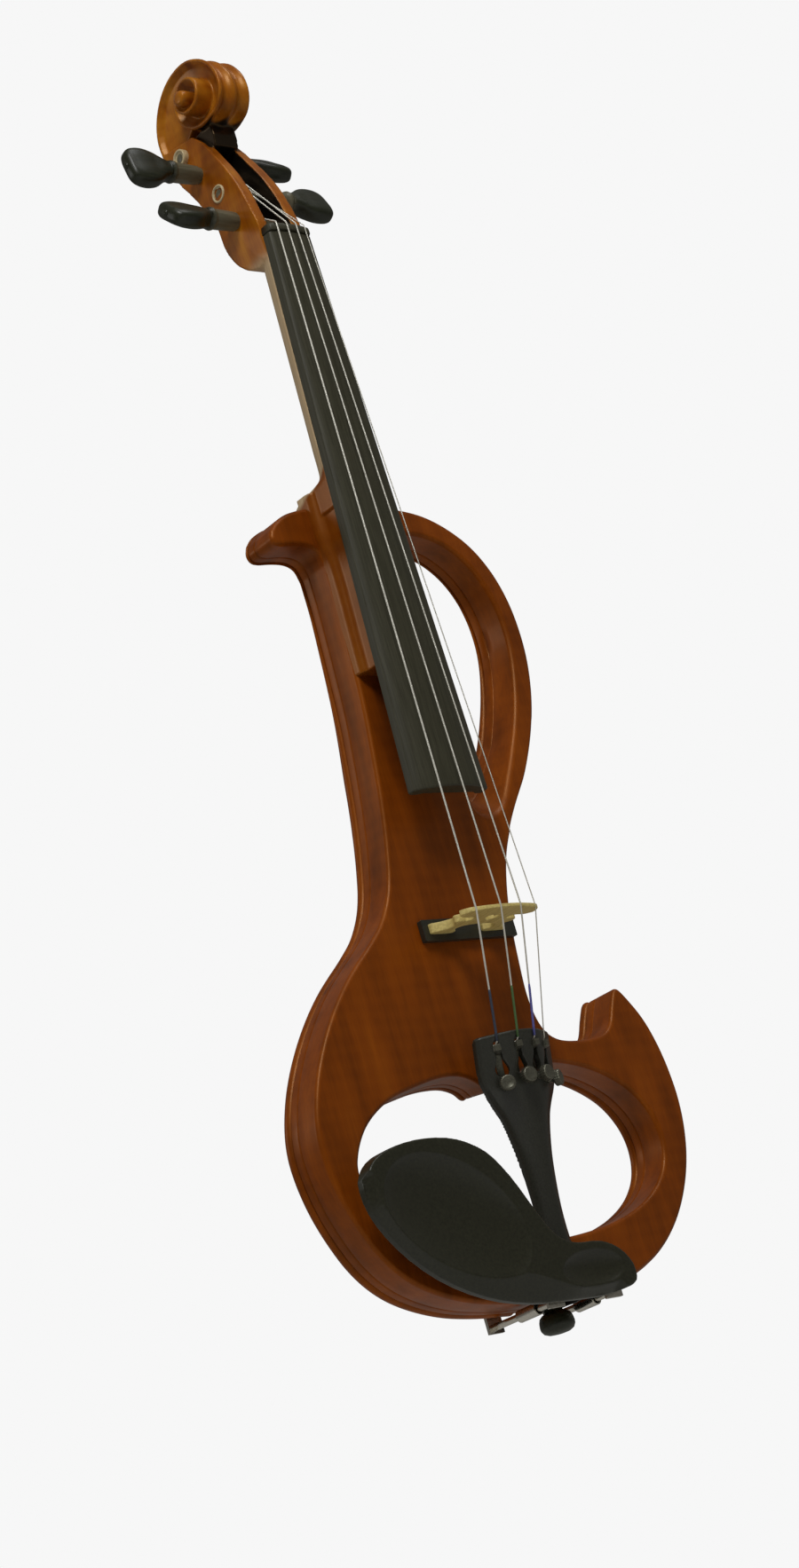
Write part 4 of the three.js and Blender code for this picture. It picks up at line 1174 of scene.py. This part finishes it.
# ---- studio ----
def camera():
    turn, lift, roll = math.radians(-43.22), math.radians(-16.62), math.radians(-16.38)
    back = Vector((math.sin(turn) * math.cos(lift), -math.cos(turn) * math.cos(lift), math.sin(lift)))
    right = (-back).cross(Vector((0, 0, 1))).normalized()
    up = right.cross(-back)
    leaned_right = right * math.cos(roll) + up * math.sin(roll)
    leaned_up = up * math.cos(roll) - right * math.sin(roll)
    data = bpy.data.cameras.new("camera")
    data.sensor_width = 36
    data.lens = 71.3
    obj = bpy.data.objects.new("camera", data)
    bpy.context.scene.collection.objects.link(obj)
    target, distance = Vector((-0.01031, 0, 0.22722)), 1.32415
    pose = Matrix((leaned_right, leaned_up, back)).transposed().to_4x4()
    obj.matrix_world = Matrix.Translation(target + back * distance) @ pose
    bpy.context.scene.camera = obj


def lamp(name, place, aim, power, size):
    data = bpy.data.lights.new(name, "AREA")
    data.shape = "DISK"
    data.energy = power
    data.size = size
    obj = bpy.data.objects.new(name, data)
    bpy.context.scene.collection.objects.link(obj)
    obj.location = place
    obj.rotation_mode = "QUATERNION"
    obj.rotation_quaternion = (Vector(aim) - Vector(place)).to_track_quat("-Z", "Y")


def studio():
    world = bpy.data.worlds.new("studio")
    world.use_nodes = True
    tree = world.node_tree
    glow = tree.nodes["Background"]
    glow.inputs["Color"].default_value = (1.0, 0.97, 0.92, 1)
    glow.inputs["Strength"].default_value = 0.15
    backdrop = tree.nodes.new("ShaderNodeBackground")
    backdrop.inputs["Color"].default_value = (1, 1, 1, 1)
    backdrop.inputs["Strength"].default_value = 0.93
    choice = tree.nodes.new("ShaderNodeMixShader")
    tree.links.new(tree.nodes.new("ShaderNodeLightPath").outputs["Is Camera Ray"], choice.inputs[0])
    tree.links.new(glow.outputs[0], choice.inputs[1])
    tree.links.new(backdrop.outputs[0], choice.inputs[2])
    tree.links.new(choice.outputs[0], tree.nodes["World Output"].inputs["Surface"])
    bpy.context.scene.world = world
    bpy.context.scene.view_settings.view_transform = "Standard"
    half, height = 6000, -330
    corners = [(-half, -half, height), (half, -half, height), (half, half, height), (-half, half, height)]
    floor = shape(corners, [(0, 1, 2, 3)])
    floor.name = "floor"
    g = Graph("floor_paper")
    tone = g.noise((1, 1, 1), 3, 3)
    seen = g.maths("MULTIPLY", g.add("ShaderNodeLightPath").outputs["Is Camera Ray"], 0.28)
    floor.data.materials.append(g.finish(
        Base_Color=g.ramp(tone, (0.3, (0.78, 0.78, 0.76)), (0.7, (0.82, 0.82, 0.80))), Roughness=0.9,
        Emission_Color=(1.0, 1.0, 0.98, 1), Emission_Strength=seen))
    lamp("key", (-0.9, -1.1, 1.8), (0, 0, 0.3), 21, 0.8)
    lamp("fill", (0.4, -0.7, 2.0), (0, 0, 0.3), 5, 0.8)
    lamp("rear", (-1.3, 1.0, 0.9), (0, 0, 0.3), 2.2, 0.5)


camera()
studio()
body_core()
back_plate()
neck()
fingerboard()
nut()
bridge()
tailpiece()
tuners()
strings()
for note, p in PEGS.items():
    peg(note, p)
chinrest()
end_button()
knobs()
kept_nodes()
